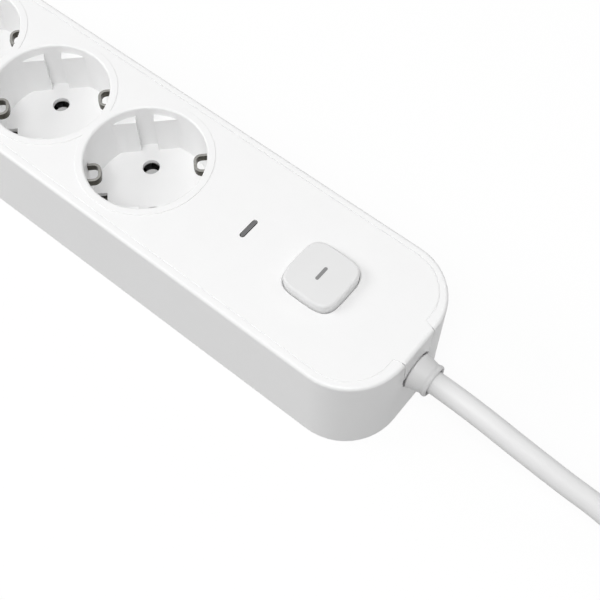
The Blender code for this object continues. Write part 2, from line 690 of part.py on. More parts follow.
def top_cover():
    outline = rounded_outline(
        CASE_LENGTH - 2 * (RIM_END + SEAM), CASE_WIDTH - 2 * (RIM_SIDE + SEAM), COVER_CORNER - SEAM,
    )
    cover = prism("cover_plate", outline, COVER_UNDER, CASE_HEIGHT)
    join(cover, cover_tongue())
    for number, x in enumerate(SOCKET_XS, 1):
        ring_top = CASE_HEIGHT + RING_HEIGHT
        ring = cylinder(f"ring_{number}", RING_RADIUS, CASE_HEIGHT - OVERRUN, ring_top, at(x), ROUND_STEPS)
        cup_radius = WELL_RADIUS + WELL_WALL
        cup = cylinder(f"cup_{number}", cup_radius, CUP_UNDER, CASE_HEIGHT - OVERRUN, at(x), ROUND_STEPS)
        join(cover, ring, cup)
    foot = POST_HEIGHT + SEAM
    for number, (x, y) in enumerate(screw_spots(), 1):
        join(cover, cylinder(f"pillar_{number}", PILLAR_RADIUS, foot, COVER_UNDER + OVERRUN, at(x, y)))
    rib_low = LAMP_Z - LAMP_RADIUS - LAMP_RIB
    for side in (1, -1):
        middle = side * LAMP_RIB_PLACE
        low = (LENS_X - LAMP_RADIUS - 2 * LAMP_RIB, middle - LAMP_RIB / 2, rib_low)
        high = (LENS_X + LAMP_RADIUS + 2 * LAMP_RIB, middle + LAMP_RIB / 2, COVER_UNDER + OVERRUN)
        rib = box("lamp_rib", low, high)
        cut(rib, cylinder("lamp_hole", LAMP_RADIUS + SEAM, -LAMP_LENGTH, LAMP_LENGTH, lamp_place()))
        join(cover, rib)
    for number, x in enumerate(SOCKET_XS, 1):
        cut(cover, well_space(f"well_{number}", x))
        for side in (1, -1):
            spot = at(x - side * PIN_OFFSET, side * PIN_OFFSET)
            hole = cylinder(
                f"pin_hole_{number}", PIN_HOLE / 2, CUP_UNDER - OVERRUN, WELL_BOTTOM + OVERRUN, spot,
                FINE_STEPS,
            )
            cut(cover, hole)
        cut_clip_openings(cover, x)
    aperture = soft_square(BUTTON_SIZE + 2 * BUTTON_GAP)
    cut(cover, prism("button_hole", aperture, COVER_UNDER - OVERRUN, CASE_HEIGHT + OVERRUN, at(BUTTON_X)))
    slot = lens_outline(SEAM)
    cut(cover, prism("lens_hole", slot, COVER_UNDER - OVERRUN, CASE_HEIGHT + OVERRUN, at(LENS_X)))
    for number, (x, y) in enumerate(screw_spots(), 1):
        pilot_top = SCREW_RECESS + SCREW_LENGTH + OVERRUN
        cut(cover, cylinder(f"pilot_{number}", SCREW_SHANK + SEAM, foot - OVERRUN, pilot_top, at(x, y)))
    return as_part(cover, "top_cover", WHITE_ABS)


def clip_band():
    """Plan of a clip: a strip bent into a U, with its nose towards the well's axis."""
    nose = CLIP_TIP + CLIP_BEND
    side = CLIP_WIDTH / 2 - CLIP_BEND
    tail = BRACKET_LEG + CLIP_STRIP / 2
    inside = CLIP_BEND - CLIP_STRIP
    outline = [(tail, -side - CLIP_BEND)]
    outline += arc((nose, -side), CLIP_BEND, 270, 180, BEND_STEPS)
    outline += arc((nose, side), CLIP_BEND, 180, 90, BEND_STEPS)
    outline += [(tail, side + CLIP_BEND), (tail, side + inside)]
    outline += arc((nose, side), inside, 90, 180, BEND_STEPS)
    outline += arc((nose, -side), inside, 180, 270, BEND_STEPS)
    outline.append((tail, -side - inside))
    return outline


def earth_bracket(number, x):
    """A strip under the well whose two ends rise outside it and carry the clips."""
    frame = at(x, turn=SOCKET_TURN)
    low = BRACKET_TOP - CLIP_STRIP
    clip_top = CASE_HEIGHT - CLIP_DEPTH
    end = BRACKET_LEG + CLIP_STRIP
    half = BRACKET_WIDTH / 2
    bracket = box("bracket_strip", (-end, -half, low), (end, half, BRACKET_TOP), frame)
    for side in (1, -1):
        near, far = sorted((side * BRACKET_LEG, side * end))
        leg_low = (near, -CLIP_WIDTH / 2, low + CLIP_STRIP / 2)
        join(bracket, box("bracket_leg", leg_low, (far, CLIP_WIDTH / 2, clip_top), frame))
        half_turn = frame @ Matrix.Rotation(0 if side > 0 else math.pi, 4, "Z")
        join(bracket, prism("clip", clip_band(), clip_top - CLIP_HEIGHT, clip_top, half_turn))
    return as_part(bracket, f"earth_bracket_{number}", SPRING_STEEL)


def earth_rail():
    start = SOCKET_XS[-1] - BRACKET_WIDTH / 2
    low = (start, -EARTH_RAIL_WIDTH / 2, EARTH_RAIL_TOP - RAIL_STRIP)
    rail = box("earth_strip", low, (EARTH_TAIL_X, EARTH_RAIL_WIDTH / 2, EARTH_RAIL_TOP))
    return as_part(rail, "earth_rail", BRASS)


def leaf_outline(side):
    """A contact leaf seen along the rail: up from the rail, in to the pin and out again."""
    foot = RAIL_WIDTH / 2
    grip_z = LEAF_TOP - LEAF_FLARE
    path = [(foot, RAIL_HEIGHT), (LEAF_GRIP + LEAF_STRIP, grip_z), (LEAF_MOUTH + LEAF_STRIP, LEAF_TOP)]
    back = [(y - LEAF_STRIP, z) for y, z in reversed(path)]
    return [(side * y, z) for y, z in path + back]


def contact_rail(name, side):
    """A strip with a hole under each pin and a pair of leaves beside it."""
    y = side * PIN_OFFSET
    pins = [x - side * PIN_OFFSET for x in SOCKET_XS]
    start = pins[-1] - LEAF_LENGTH
    rail = box(
        f"{name}_strip", (start, y - RAIL_WIDTH / 2, RAIL_HEIGHT),
        (RAIL_TAIL_X, y + RAIL_WIDTH / 2, RAIL_HEIGHT + RAIL_STRIP),
    )
    for x in pins:
        for way in (1, -1):
            place = Matrix.Translation((x, y, RAIL_STRIP / 2)) @ UPRIGHT
            join(rail, prism("leaf", leaf_outline(way), -LEAF_LENGTH / 2, LEAF_LENGTH / 2, place))
        hole_low = RAIL_HEIGHT - OVERRUN
        hole_high = RAIL_HEIGHT + RAIL_STRIP + OVERRUN
        cut(rail, cylinder("rail_hole", PIN_HOLE / 2, hole_low, hole_high, at(x, y)))
    return as_part(rail, name, BRASS)


def push_button():
    """A cap with a skirt, a stop flange under the cover and a boss for the plunger."""
    skirt_low = COVER_UNDER - BUTTON_GAP - BUTTON_SKIRT
    crown = CASE_HEIGHT + BUTTON_PROUD
    cap = prism("button_cap", soft_square(BUTTON_SIZE), skirt_low, crown)
    round_edge(cap, crown, BUTTON_EDGE, EDGE_STEPS)
    flange = soft_square(BUTTON_SIZE + 2 * BUTTON_FLANGE)
    place = at(BUTTON_X)
    cap.matrix_world = place
    join(cap, prism("button_flange", flange, skirt_low - OVERRUN, skirt_low + BUTTON_SKIRT, place))
    hollow = soft_square(BUTTON_SIZE - 2 * BUTTON_WALL)
    cut(cap, prism("button_hollow", hollow, skirt_low - 2 * OVERRUN, crown - BUTTON_CROWN, place))
    boss_radius = SPRING_RADIUS - 2 * SPRING_WIRE
    join(cap, cylinder("button_boss", boss_radius, PLUNGER_TOP + SEAM, crown - BUTTON_EDGE, place))
    mark = round_ended(MARK_WIDTH, MARK_LENGTH)
    cut(cap, prism("button_mark", mark, crown - MARK_DEPTH, crown + OVERRUN, place))
    return as_part(cap, "push_button", BUTTON_ABS)


def switch_housing():
    low = (BUTTON_X - SWITCH_LENGTH / 2, -SWITCH_WIDTH / 2, TRAY_FLOOR + SEAM)
    high = (BUTTON_X + SWITCH_LENGTH / 2, SWITCH_WIDTH / 2, SWITCH_TOP)
    housing = box("switch_body", low, high)
    half = PLUNGER_SIZE / 2 + SEAM
    bottom = SWITCH_TOP - PLUNGER_DIP - BUTTON_TRAVEL - SEAM
    cut(housing, box(
        "plunger_bore", (BUTTON_X - half, -half, bottom), (BUTTON_X + half, half, SWITCH_TOP + OVERRUN),
    ))
    return as_part(housing, "switch_housing", SWITCH_NYLON)


def switch_plunger():
    half = PLUNGER_SIZE / 2
    low = (BUTTON_X - half, -half, SWITCH_TOP - PLUNGER_DIP)
    plunger = box("plunger_stem", low, (BUTTON_X + half, half, PLUNGER_TOP))
    return as_part(plunger, "switch_plunger", WHITE_ABS)


def return_spring():
    low = SWITCH_TOP + SEAM + SPRING_WIRE
    high = CASE_HEIGHT + BUTTON_PROUD - BUTTON_CROWN - SEAM - SPRING_WIRE
    points = []
    count = SPRING_TURNS * SPRING_POINTS_PER_TURN
    for i in range(count + 1):
        angle = 2 * math.pi * SPRING_TURNS * i / count
        z = low + (high - low) * i / count
        points.append((BUTTON_X + SPRING_RADIUS * math.cos(angle), SPRING_RADIUS * math.sin(angle), z))
    return tube("return_spring", points, SPRING_WIRE, 1, SPRING_STEEL)


def switch_terminal(name, end):
    face = BUTTON_X + end * (SWITCH_LENGTH / 2 + SEAM)
    near, far = sorted((face, face + end * TERMINAL_LENGTH))
    y = TERMINAL_OFFSET
    low = (near, y - TERMINAL_WIDTH / 2, TERMINAL_HEIGHT - RAIL_STRIP / 2)
    high = (far, y + TERMINAL_WIDTH / 2, TERMINAL_HEIGHT + RAIL_STRIP / 2)
    return as_part(box("terminal_blade", low, high), name, BRASS)


def lens_outline(gap):
    return round_ended(LENS_WIDTH + 2 * gap, LENS_LENGTH + 2 * gap)


def lamp_place():
    along_y = Matrix.Rotation(math.radians(-90), 4, "X")
    return Matrix.Translation((LENS_X, 0, LAMP_Z)) @ along_y


def indicator_lens():
    low = COVER_UNDER - SEAM - LENS_FLANGE
    half_x = LENS_WIDTH / 2 + 2 * LENS_FLANGE
    half_y = LAMP_RIB_PLACE - LAMP_RIB / 2 - SEAM
    top = CASE_HEIGHT - LENS_SET_BACK
    lens = prism("lens_bar", lens_outline(0), low + LENS_FLANGE / 2, top, at(LENS_X))
    flange_low = (LENS_X - half_x, -half_y, low)
    join(lens, box("lens_flange", flange_low, (LENS_X + half_x, half_y, low + LENS_FLANGE)))
    return as_part(lens, "indicator_lens", LENS_GREY)


def indicator_lamp():
    half = LAMP_LENGTH / 2
    lamp = cylinder("lamp_tube", LAMP_RADIUS, -half, half, lamp_place())
    return as_part(lamp, "indicator_lamp", LAMP_GLASS)


def cable_gland():
    """A bushing with an inner flange, a tapered nose and a lip, turned about the cord."""
    lip_end = CABLE_END + GLAND_LENGTH
    lip_start = lip_end - GLAND_LIP_LENGTH
    inner = CABLE_END - RIM_END - LEDGE_WIDTH - OVERRUN - SEAM
    core = GLAND_LIP - GLAND_LIP_ROUND
    profile = [(GLAND_BORE, lip_end)]
    profile += arc((core, lip_end - GLAND_LIP_ROUND), GLAND_LIP_ROUND, 90, 0, EDGE_STEPS)
    profile += arc((core, lip_start + GLAND_LIP_ROUND), GLAND_LIP_ROUND, 0, -60, EDGE_STEPS)
    profile += [
        (GLAND_NOSE, lip_start), (GLAND_NECK, CABLE_END), (GLAND_NECK, inner), (GLAND_FLANGE, inner),
        (GLAND_FLANGE, inner - GLAND_FLANGE_LENGTH), (GLAND_BORE, inner - GLAND_FLANGE_LENGTH),
    ]
    around = Matrix.Translation((0, 0, GLAND_Z)) @ UPRIGHT
    gland = turned("gland_body", profile, around, FINE_STEPS, closed=True)
    return as_part(gland, "cable_gland", SOFT_PVC)


def screw(name, place):
    """A pan-head screw: head height zero at the place, shank towards its own +Z."""
    head = cylinder("screw_head", SCREW_HEAD, -SCREW_HEAD_HEIGHT, 0, place)
    round_edge(head, -SCREW_HEAD_HEIGHT, SCREW_HEAD_ROUND, 1)
    join(head, cylinder("screw_shank", SCREW_SHANK, -SCREW_HEAD_HEIGHT / 2, SCREW_LENGTH - OVERRUN, place))
    length, width, depth = CROSS_SLOT
    for turn in (0, math.pi / 2):
        slot = place @ Matrix.Rotation(turn, 4, "Z")
        low = (-length / 2, -width / 2, -SCREW_HEAD_HEIGHT - OVERRUN)
        cut(head, box("cross_slot", low, (length / 2, width / 2, depth - SCREW_HEAD_HEIGHT), slot))
    return as_part(head, name, ZINC)


def cover_screws():
    for number, (x, y) in enumerate(screw_spots(), 1):
        screw(f"cover_screw_{number}", at(x, y, SCREW_RECESS - SEAM))


def cord_clamp():
    low = GLAND_Z + CORD_RADIUS + SEAM
    reach = CLAMP_SPAN + CLAMP_POST
    half = CLAMP_WIDTH / 2
    bar = box("clamp_bar", (CLAMP_X - half, -reach, low), (CLAMP_X + half, reach, low + CLAMP_THICKNESS))
    for number, side in enumerate((1, -1), 1):
        spot = at(CLAMP_X, side * CLAMP_SPAN)
        top = low + CLAMP_THICKNESS
        cut(bar, cylinder("clamp_hole", SCREW_SHANK + SEAM, low - OVERRUN, top + OVERRUN, spot))
        upside = at(CLAMP_X, side * CLAMP_SPAN, top + SEAM) @ Matrix.Rotation(math.pi, 4, "X")
        screw(f"clamp_screw_{number}", upside)
    return as_part(bar, "cord_clamp", WHITE_ABS)


def inner_wiring():
    """The lead's sheath inside the case and the cores that fan out from it."""
    inside = [(CORD_START - SEAM, 0, GLAND_Z), (CORD_INNER_END, 0, GLAND_Z)]
    tube("cord_inner", inside, CORD_RADIUS, 3, SOFT_PVC)
    start = CORD_INNER_END - SEAM
    core = CORD_RADIUS / 2
    bend = 2 * LEAD_RADIUS
    in_face = BUTTON_X + SWITCH_LENGTH / 2
    out_face = BUTTON_X - SWITCH_LENGTH / 2
    in_end = in_face + TERMINAL_LENGTH + 2 * SEAM
    out_end = out_face - TERMINAL_LENGTH - 2 * SEAM
    side = SWITCH_WIDTH / 2 + bend
    rail_z = RAIL_HEIGHT + RAIL_STRIP / 2
    rail_end = RAIL_TAIL_X + SEAM
    earth_z = EARTH_RAIL_TOP - RAIL_STRIP / 2
    earth_end = EARTH_TAIL_X + SEAM
    blade = (TERMINAL_OFFSET, TERMINAL_HEIGHT)
    routes = {
        "live_lead": (BROWN_PVC, [
            (start, core, GLAND_Z - core), (start - bend, core, GLAND_Z - core - LEAD_RADIUS),
            (in_end + bend, blade[0], (GLAND_Z + blade[1]) / 2), (in_end + bend, blade[0], blade[1] + bend),
            (in_end + LEAD_RADIUS, *blade), (in_end, *blade),
        ]),
        "neutral_lead": (BLUE_PVC, [
            (start, -core, GLAND_Z - core), (start - bend, -core - SEAM, GLAND_Z - core),
            (in_face + bend, -side + bend, SWITCH_TOP), (in_face, -side - SEAM, SWITCH_TOP - 2 * bend),
            (BUTTON_X, -side - SEAM, rail_z + 2 * bend), (out_face, -side, rail_z + bend),
            ((out_face + rail_end) / 2, -PIN_OFFSET - SEAM, rail_z + LEAD_RADIUS),
            (rail_end + 2 * bend, -PIN_OFFSET, rail_z), (rail_end, -PIN_OFFSET, rail_z),
        ]),
        "earth_lead": (EARTH_PVC, [
            (start, 0, GLAND_Z + core), (start - bend, SEAM, GLAND_Z + core),
            (in_face + LEAD_RADIUS, side - 2 * bend, GLAND_Z + LEAD_RADIUS), (in_face - bend, side, GLAND_Z),
            (BUTTON_X, side, GLAND_Z - LEAD_RADIUS), (out_face, side - LEAD_RADIUS, SWITCH_TOP + LEAD_RADIUS),
            ((out_face + earth_end) / 2, bend, earth_z + LEAD_RADIUS),
            (earth_end + bend, SEAM, earth_z), (earth_end, 0, earth_z),
        ]),
        "switched_lead": (BROWN_PVC, [
            (out_end, *blade), (out_end - bend, *blade),
            ((out_end + rail_end) / 2, (blade[0] + PIN_OFFSET) / 2, blade[1]),
            (rail_end + 2 * bend, PIN_OFFSET, rail_z), (rail_end, PIN_OFFSET, rail_z),
        ]),
    }
    for name, (finish, points) in routes.items():
        tube(name, smooth_route(points, 3), LEAD_RADIUS, 1, finish)


def loop_point(part, radius):
    """A place on a long loop, as a share of one turn from the start of its near straight run."""
    half = HANK_RUN / 2
    straight = HANK_RUN / (2 * HANK_RUN + 2 * math.pi * HANK_MID_RADIUS)
    side = -1 if part < 0.5 else 1
    along = part % 0.5
    if along < straight:
        return -side * HANK_RUN * (along / straight - 0.5), side * radius
    angle = math.pi * (along - straight) / (0.5 - straight)
    return -side * (half + radius * math.sin(angle)), side * radius * math.cos(angle)


def eased(share):
    """A share from nought to one that starts and ends gently."""
    share = min(max(share, 0), 1)
    return share * share * (3 - 2 * share)


def coil_points():
    """A hank of long loops in two columns: the cord shifts between them and climbs layer by layer."""
    count = round(HANK_TURNS * HANK_POINTS_PER_TURN)
    points = []
    for i in range(count + 1):
        turns = HANK_TURNS * i / count
        inwards = sum(way * eased((turns - start) / (end - start)) for start, end, way in HANK_SHIFTS)
        x, y = loop_point(turns % 1, HANK_RADIUS - HANK_PITCH * inwards)
        x += HANK_MIDDLE[0]
        y += HANK_MIDDLE[1]
        from_tie = math.hypot(x - TIE_PLACE[0], y - TIE_PLACE[1])
        z = HANK_REST + TIE_LIFT * math.exp(-(from_tie / TIE_LIFT_SPREAD) ** 2)
        z += HANK_LAYER * sum(eased((turns - start) / (end - start)) for start, end in HANK_CLIMBS)
        points.append(Vector((x, y, z)))
    before = points[0] + (points[0] - points[1]).normalized() * CORD_RADIUS
    after = points[-1] + (points[-1] - points[-2]).normalized() * CORD_RADIUS
    return [before] + points + [after]


def least_gap(points):
    """The smallest clear distance between stretches that aren't next to each other."""
    along = [0.0]
    for first, second in zip(points, points[1:]):
        along.append(along[-1] + (second - first).length)
    nearest = min(
        (points[i] - points[j]).length
        for i in range(len(points)) for j in range(i)
        if along[i] - along[j] > 6 * CORD_DIAMETER
    )
    return nearest - CORD_DIAMETER


def path_length(points):
    return sum((second - first).length for first, second in zip(points, points[1:]))


def mains_lead():
    coil = coil_points()
    fine = smooth_route([tuple(p) for p in coil], 4)
    print(f"cord_coil least gap to itself {least_gap(fine) * 1000:.2f} mm")
    inward = (coil[0] - coil[1]).normalized()
    outward = (coil[-1] - coil[-2]).normalized()
    straight = SEAM + CORD_RADIUS
    lead = [(CORD_START, 0, GLAND_Z)] + from_cable_end(CORD_ROUTE)
    lead_points = smooth_route(lead + [coil[0] + inward * straight, coil[0] + inward * SEAM], 2)
    tube("cord_lead", lead_points, CORD_RADIUS, 3, SOFT_PVC)
    tube("cord_coil", coil, CORD_RADIUS, 1, SOFT_PVC)
    tail = [coil[-1] + outward * SEAM, coil[-1] + outward * straight] + from_cable_end(TAIL_ROUTE)
    tail += [Vector(PLUG_END) - Vector((gap, 0, 0)) for gap in (straight, SEAM)]
    tail_points = smooth_route(tail, 2)
    tube("cord_tail", tail_points, CORD_RADIUS, 3, SOFT_PVC)
    total = path_length(lead_points) + path_length(coil) + path_length(tail_points)
    print(f"mains lead {total:.3f} m from the case to the plug")


def cord_tie():
    """A strap round one side of the hank, where its strands are lifted off the floor."""
    half = HANK_PITCH / 2 + CORD_RADIUS + TIE_GAP
    low = HANK_REST + TIE_LIFT - CORD_RADIUS - TIE_GAP
    high = HANK_REST + TIE_LIFT + HANK_LAYER * len(HANK_CLIMBS) + CORD_RADIUS + TIE_GAP
    height = high - low
    outer_size = (2 * (half + TIE_STRIP), height + 2 * TIE_STRIP)
    outer = rounded_outline(*outer_size, CORD_RADIUS + TIE_STRIP, BEND_STEPS)
    inner = rounded_outline(2 * half, height, CORD_RADIUS, BEND_STEPS)
    place = at(*TIE_PLACE, (low + high) / 2) @ UPRIGHT
    band = prism("tie_band", outer, -TIE_WIDTH / 2, TIE_WIDTH / 2, place)
    cut(band, prism("tie_room", inner, -TIE_WIDTH, TIE_WIDTH, place))
    return as_part(band, "cord_tie", TIE_NYLON)


def mains_plug():
    """A straight two-pin plug with side earth strips, lying on the hank."""
    axle = bpy.data.objects.new("plug_axis", None)
    PARTS.objects.link(axle)
    face_x = PLUG_END[0] + PLUG_SLEEVE_LENGTH + PLUG_LENGTH
    facing = Matrix.Rotation(math.radians(90), 4, "Y") @ Matrix.Rotation(PLUG_ROLL, 4, "Z")
    axle.matrix_world = Matrix.Translation((face_x, PLUG_END[1], PLUG_END[2])) @ facing
    place = axle.matrix_world
    profile = [(0, 0), (PLUG_RADIUS - PLUG_EDGE, 0), (PLUG_RADIUS, -PLUG_EDGE), (PLUG_RADIUS, -PLUG_COLLAR)]
    profile += [(radius, -along) for radius, along in (PLUG_SHOULDER, PLUG_WAIST)]
    profile += [(PLUG_NECK + PLUG_NECK_ROUND, PLUG_NECK_ROUND - PLUG_LENGTH)]
    profile += [(PLUG_NECK, -PLUG_LENGTH), (0, -PLUG_LENGTH)]
    body = turned("plug_shell", profile, place, FINE_STEPS * 3 // 2)
    reach = PLUG_RADIUS + OVERRUN
    strip_start = PLUG_RADIUS - PLUG_STRIP_INSET - SEAM - PLUG_STRIP_THICKNESS
    for side in (1, -1):
        near, far = sorted((side * PLUG_FLAT, side * reach))
        cut(body, box("plug_flat", (near, -reach, -PLUG_COLLAR), (far, reach, OVERRUN), place))
        half = PLUG_STRIP_WIDTH / 2 + SEAM
        depth = strip_start - SEAM
        near, far = sorted((side * depth, side * reach))
        cut(body, box("strip_room", (-half, near, -PLUG_STRIP_LENGTH - SEAM), (half, far, OVERRUN), place))
        bore = place @ Matrix.Translation((side * PIN_SPACING / 2, 0, 0))
        cut(body, cylinder("plug_bore", PIN_DIAMETER / 2 + SEAM, -PLUG_PIN_ROOT - SEAM, OVERRUN, bore))
    as_part(body, "plug_body", SOFT_PVC)
    for number, side in enumerate((1, -1), 1):
        at_pin = place @ Matrix.Translation((side * PIN_SPACING / 2, 0, 0))
        radius = PIN_DIAMETER / 2
        tip = (radius - PLUG_PIN_ROUND, PIN_LENGTH - PLUG_PIN_ROUND)
        pin_profile = [(0, PIN_LENGTH)] + arc(tip, PLUG_PIN_ROUND, 90, 0, EDGE_STEPS)
        pin_profile += [(radius, -PLUG_PIN_ROOT), (0, -PLUG_PIN_ROOT)]
        as_part(turned("pin", pin_profile, at_pin, SMALL_STEPS), f"plug_pin_{number}", NICKEL)
        near, far = sorted((side * strip_start, side * (strip_start + PLUG_STRIP_THICKNESS)))
        low = (-PLUG_STRIP_WIDTH / 2, near, -PLUG_STRIP_LENGTH)
        strip = box("strip", low, (PLUG_STRIP_WIDTH / 2, far, -SEAM), place)
        as_part(strip, f"plug_earth_strip_{number}", NICKEL)
    sleeve_start = -PLUG_LENGTH - SEAM
    sleeve_end = -PLUG_LENGTH - PLUG_SLEEVE_LENGTH
    sleeve = cylinder(
        "sleeve", PLUG_SLEEVE_END, sleeve_end, sleeve_start, place, FINE_STEPS, PLUG_SLEEVE_START,
    )
    as_part(sleeve, "plug_strain_relief", SOFT_PVC)
    for piece in list(PARTS.objects):
        if piece.name.startswith("plug_") and piece is not axle:
            world = piece.matrix_world.copy()
            piece.parent = axle
            piece.matrix_parent_inverse = axle.matrix_world.inverted()
            piece.matrix_world = world


def build():
    base_tray()
    top_cover()
    for number, x in enumerate(SOCKET_XS, 1):
        earth_bracket(number, x)
    earth_rail()
    contact_rail("live_rail", 1)
    contact_rail("neutral_rail", -1)
    push_button()
    switch_housing()
    switch_plunger()
    return_spring()
    switch_terminal("switch_terminal_in", 1)
    switch_terminal("switch_terminal_out", -1)
    indicator_lens()
    indicator_lamp()
    cable_gland()
    cord_clamp()
    cover_screws()
    inner_wiring()
    mains_lead()
    cord_tie()
    mains_plug()


build()
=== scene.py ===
# %% [markdown]
# # A white power strip
# A power strip is two moulded shells with metal inside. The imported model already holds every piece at
# its real size and place, so this lesson only gives the pieces their edges, their surfaces, the light
# and the view. Each step first says what the piece is on the real object.

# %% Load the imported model
import math

import bmesh
import bpy
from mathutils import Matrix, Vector


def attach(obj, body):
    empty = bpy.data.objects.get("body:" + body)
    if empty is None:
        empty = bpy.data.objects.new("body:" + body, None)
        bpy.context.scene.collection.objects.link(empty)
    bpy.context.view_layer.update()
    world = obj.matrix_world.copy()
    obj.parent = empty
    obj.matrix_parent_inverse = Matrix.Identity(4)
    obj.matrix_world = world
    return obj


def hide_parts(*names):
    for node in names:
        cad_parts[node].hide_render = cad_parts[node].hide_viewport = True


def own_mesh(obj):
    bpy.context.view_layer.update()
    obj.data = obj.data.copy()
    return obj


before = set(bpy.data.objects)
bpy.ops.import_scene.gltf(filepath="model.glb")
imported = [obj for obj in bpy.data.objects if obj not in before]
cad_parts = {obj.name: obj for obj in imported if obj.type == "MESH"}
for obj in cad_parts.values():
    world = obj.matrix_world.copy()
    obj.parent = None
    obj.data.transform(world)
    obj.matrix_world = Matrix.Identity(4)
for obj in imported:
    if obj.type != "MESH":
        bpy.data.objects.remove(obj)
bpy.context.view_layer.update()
MM = 0.001

# %% [markdown]
# ## The view
# The photograph was taken with a short telephoto lens from above the cable end, so the near corner is large
# and the row of sockets runs out of the picture. The camera stands at a given place and looks back along the
# direction given by its azimuth and elevation.

# %% Camera
CAMERA_PLACE = Vector((0.16884, -0.12432, 0.30369))
CAMERA_AZIMUTH = math.radians(38.933)
CAMERA_ELEVATION = math.radians(60.869)
SENSOR_MM = 36.0
LENS_MM = 62.32

camera_data = bpy.data.cameras.new("portrait")
camera_data.sensor_width = SENSOR_MM
camera_data.lens = LENS_MM
camera = bpy.data.objects.new("portrait", camera_data)
bpy.context.scene.collection.objects.link(camera)
away = Vector((
    math.sin(CAMERA_AZIMUTH) * math.cos(CAMERA_ELEVATION),
    -math.cos(CAMERA_AZIMUTH) * math.cos(CAMERA_ELEVATION),
    math.sin(CAMERA_ELEVATION),
))
camera.location = CAMERA_PLACE
camera.rotation_mode = "QUATERNION"
camera.rotation_quaternion = (-away).to_track_quat("-Z", "Y")
bpy.context.scene.camera = camera
bpy.context.scene.view_settings.view_transform = "Standard"
print("camera at", tuple(camera.location))

# %% [markdown]
# ## Colours and nodes
# Colours are noted as sRGB hex values, the way a picture editor shows them, and turned to the linear
# numbers that shaders use. One small function adds a node with its settings and its links, so that a
# material reads as a list of steps.

# %% Helpers for materials


def linear(hex_colour):
    parts = [int(hex_colour[i:i + 2], 16) / 255 for i in (1, 3, 5)]
    return tuple(p / 12.92 if p <= 0.04045 else ((p + 0.055) / 1.055) ** 2.4 for p in parts) + (1.0,)


def add_node(tree, kind, settings=None, **links):
    """Add a node, set its values by socket or property name, and link what feeds it."""
    node = tree.nodes.new(kind)
    for name, value in (settings or {}).items():
        if isinstance(name, int) or name in node.inputs:
            node.inputs[name].default_value = value
        else:
            setattr(node, name, value)
    for name, source in links.items():
        socket = int(name[1:]) if name[1:].isdigit() else name.replace("_", " ")
        tree.links.new(source, node.inputs[socket])
    return node


def new_material(name):
    """A material whose tree holds only a Texture Coordinate node, with its Object coordinates ready."""
    made = bpy.data.materials.new(name)
    made.use_nodes = True
    tree = made.node_tree
    tree.nodes.clear()
    place = add_node(tree, "ShaderNodeTexCoord").outputs["Object"]
    return made, tree, place


def close_material(tree, shader):
    add_node(tree, "ShaderNodeOutputMaterial", Surface=shader.outputs[0])


# %% [markdown]
# ## The studio
# The photograph is a cut-out on white: hardly a shadow, a bright top face, a greyer near side and a
# darker end. An even sky fills the shadows, a soft lamp high in front lights the plate and reaches into
# the wells, one low on the left lifts the long side above the end wall, and a weak one behind lights the
# far side of the lead. The floor and the sky answer the camera with plain white, and the floor still
# takes a share of the object's shadow, as paper would.

# %% Floor, sky and lamps
SKY_STRENGTH = 0.41
FLOOR_SIZE = 3.0
SHADOW_SHARE = 0.08
PAPER_GRAIN = 40 * MM
LAMP_AIM = (0.0, 0.0, 0.0)
# Each lamp by its name, its place and width in metres, and its power in watts.
LAMPS = (
    ("front", (0.25, -0.45, 1.1), 0.6, 6.2),
    ("left", (-0.9, -0.6, 0.8), 0.7, 5.8),
    ("back", (0.35, 0.9, 0.9), 0.7, 1.7),
)


def white_to_camera(tree):
    """One where the ray comes from the camera, a mirror or a glass, and nought elsewhere."""
    ray = add_node(tree, "ShaderNodeLightPath")
    first = add_node(
        tree, "ShaderNodeMath", {"operation": "MAXIMUM"},
        _0=ray.outputs["Is Camera Ray"], _1=ray.outputs["Is Glossy Ray"],
    )
    return add_node(
        tree, "ShaderNodeMath", {"operation": "MAXIMUM"},
        _0=first.outputs[0], _1=ray.outputs["Is Transmission Ray"],
    ).outputs[0]


def paper_floor():
    made, tree, place = new_material("white_paper_floor")
    grain = add_node(tree, "ShaderNodeTexNoise", {"Scale": 1 / PAPER_GRAIN, "Detail": 3.0}, Vector=place)
    bounce = add_node(
        tree, "ShaderNodeMix", {"data_type": "RGBA", 6: linear("#9c9c9c"), 7: linear("#a2a2a2")},
        _0=grain.outputs["Fac"],
    )
    seen = white_to_camera(tree)
    tone = add_node(
        tree, "ShaderNodeMix", {"data_type": "RGBA", 7: linear("#ffffff")}, _0=seen, _6=bounce.outputs[2],
    )
    matt = add_node(tree, "ShaderNodeBsdfDiffuse", Color=tone.outputs[2])
    white = add_node(tree, "ShaderNodeEmission", {"Strength": 1.0})
    share = add_node(
        tree, "ShaderNodeMath", {"operation": "MULTIPLY", 1: 1 - SHADOW_SHARE}, _0=seen,
    )
    mixed = add_node(
        tree, "ShaderNodeMixShader", None, _0=share.outputs[0], _1=matt.outputs[0], _2=white.outputs[0],
    )
    close_material(tree, mixed)
    return made


def floor_sheet():
    shape = bmesh.new()
    bmesh.ops.create_grid(shape, x_segments=2, y_segments=2, size=FLOOR_SIZE / 2)
    data = bpy.data.meshes.new("floor")
    shape.to_mesh(data)
    shape.free()
    sheet = bpy.data.objects.new("floor", data)
    bpy.context.scene.collection.objects.link(sheet)
    sheet.data.materials.append(paper_floor())
    return sheet


floor = floor_sheet()

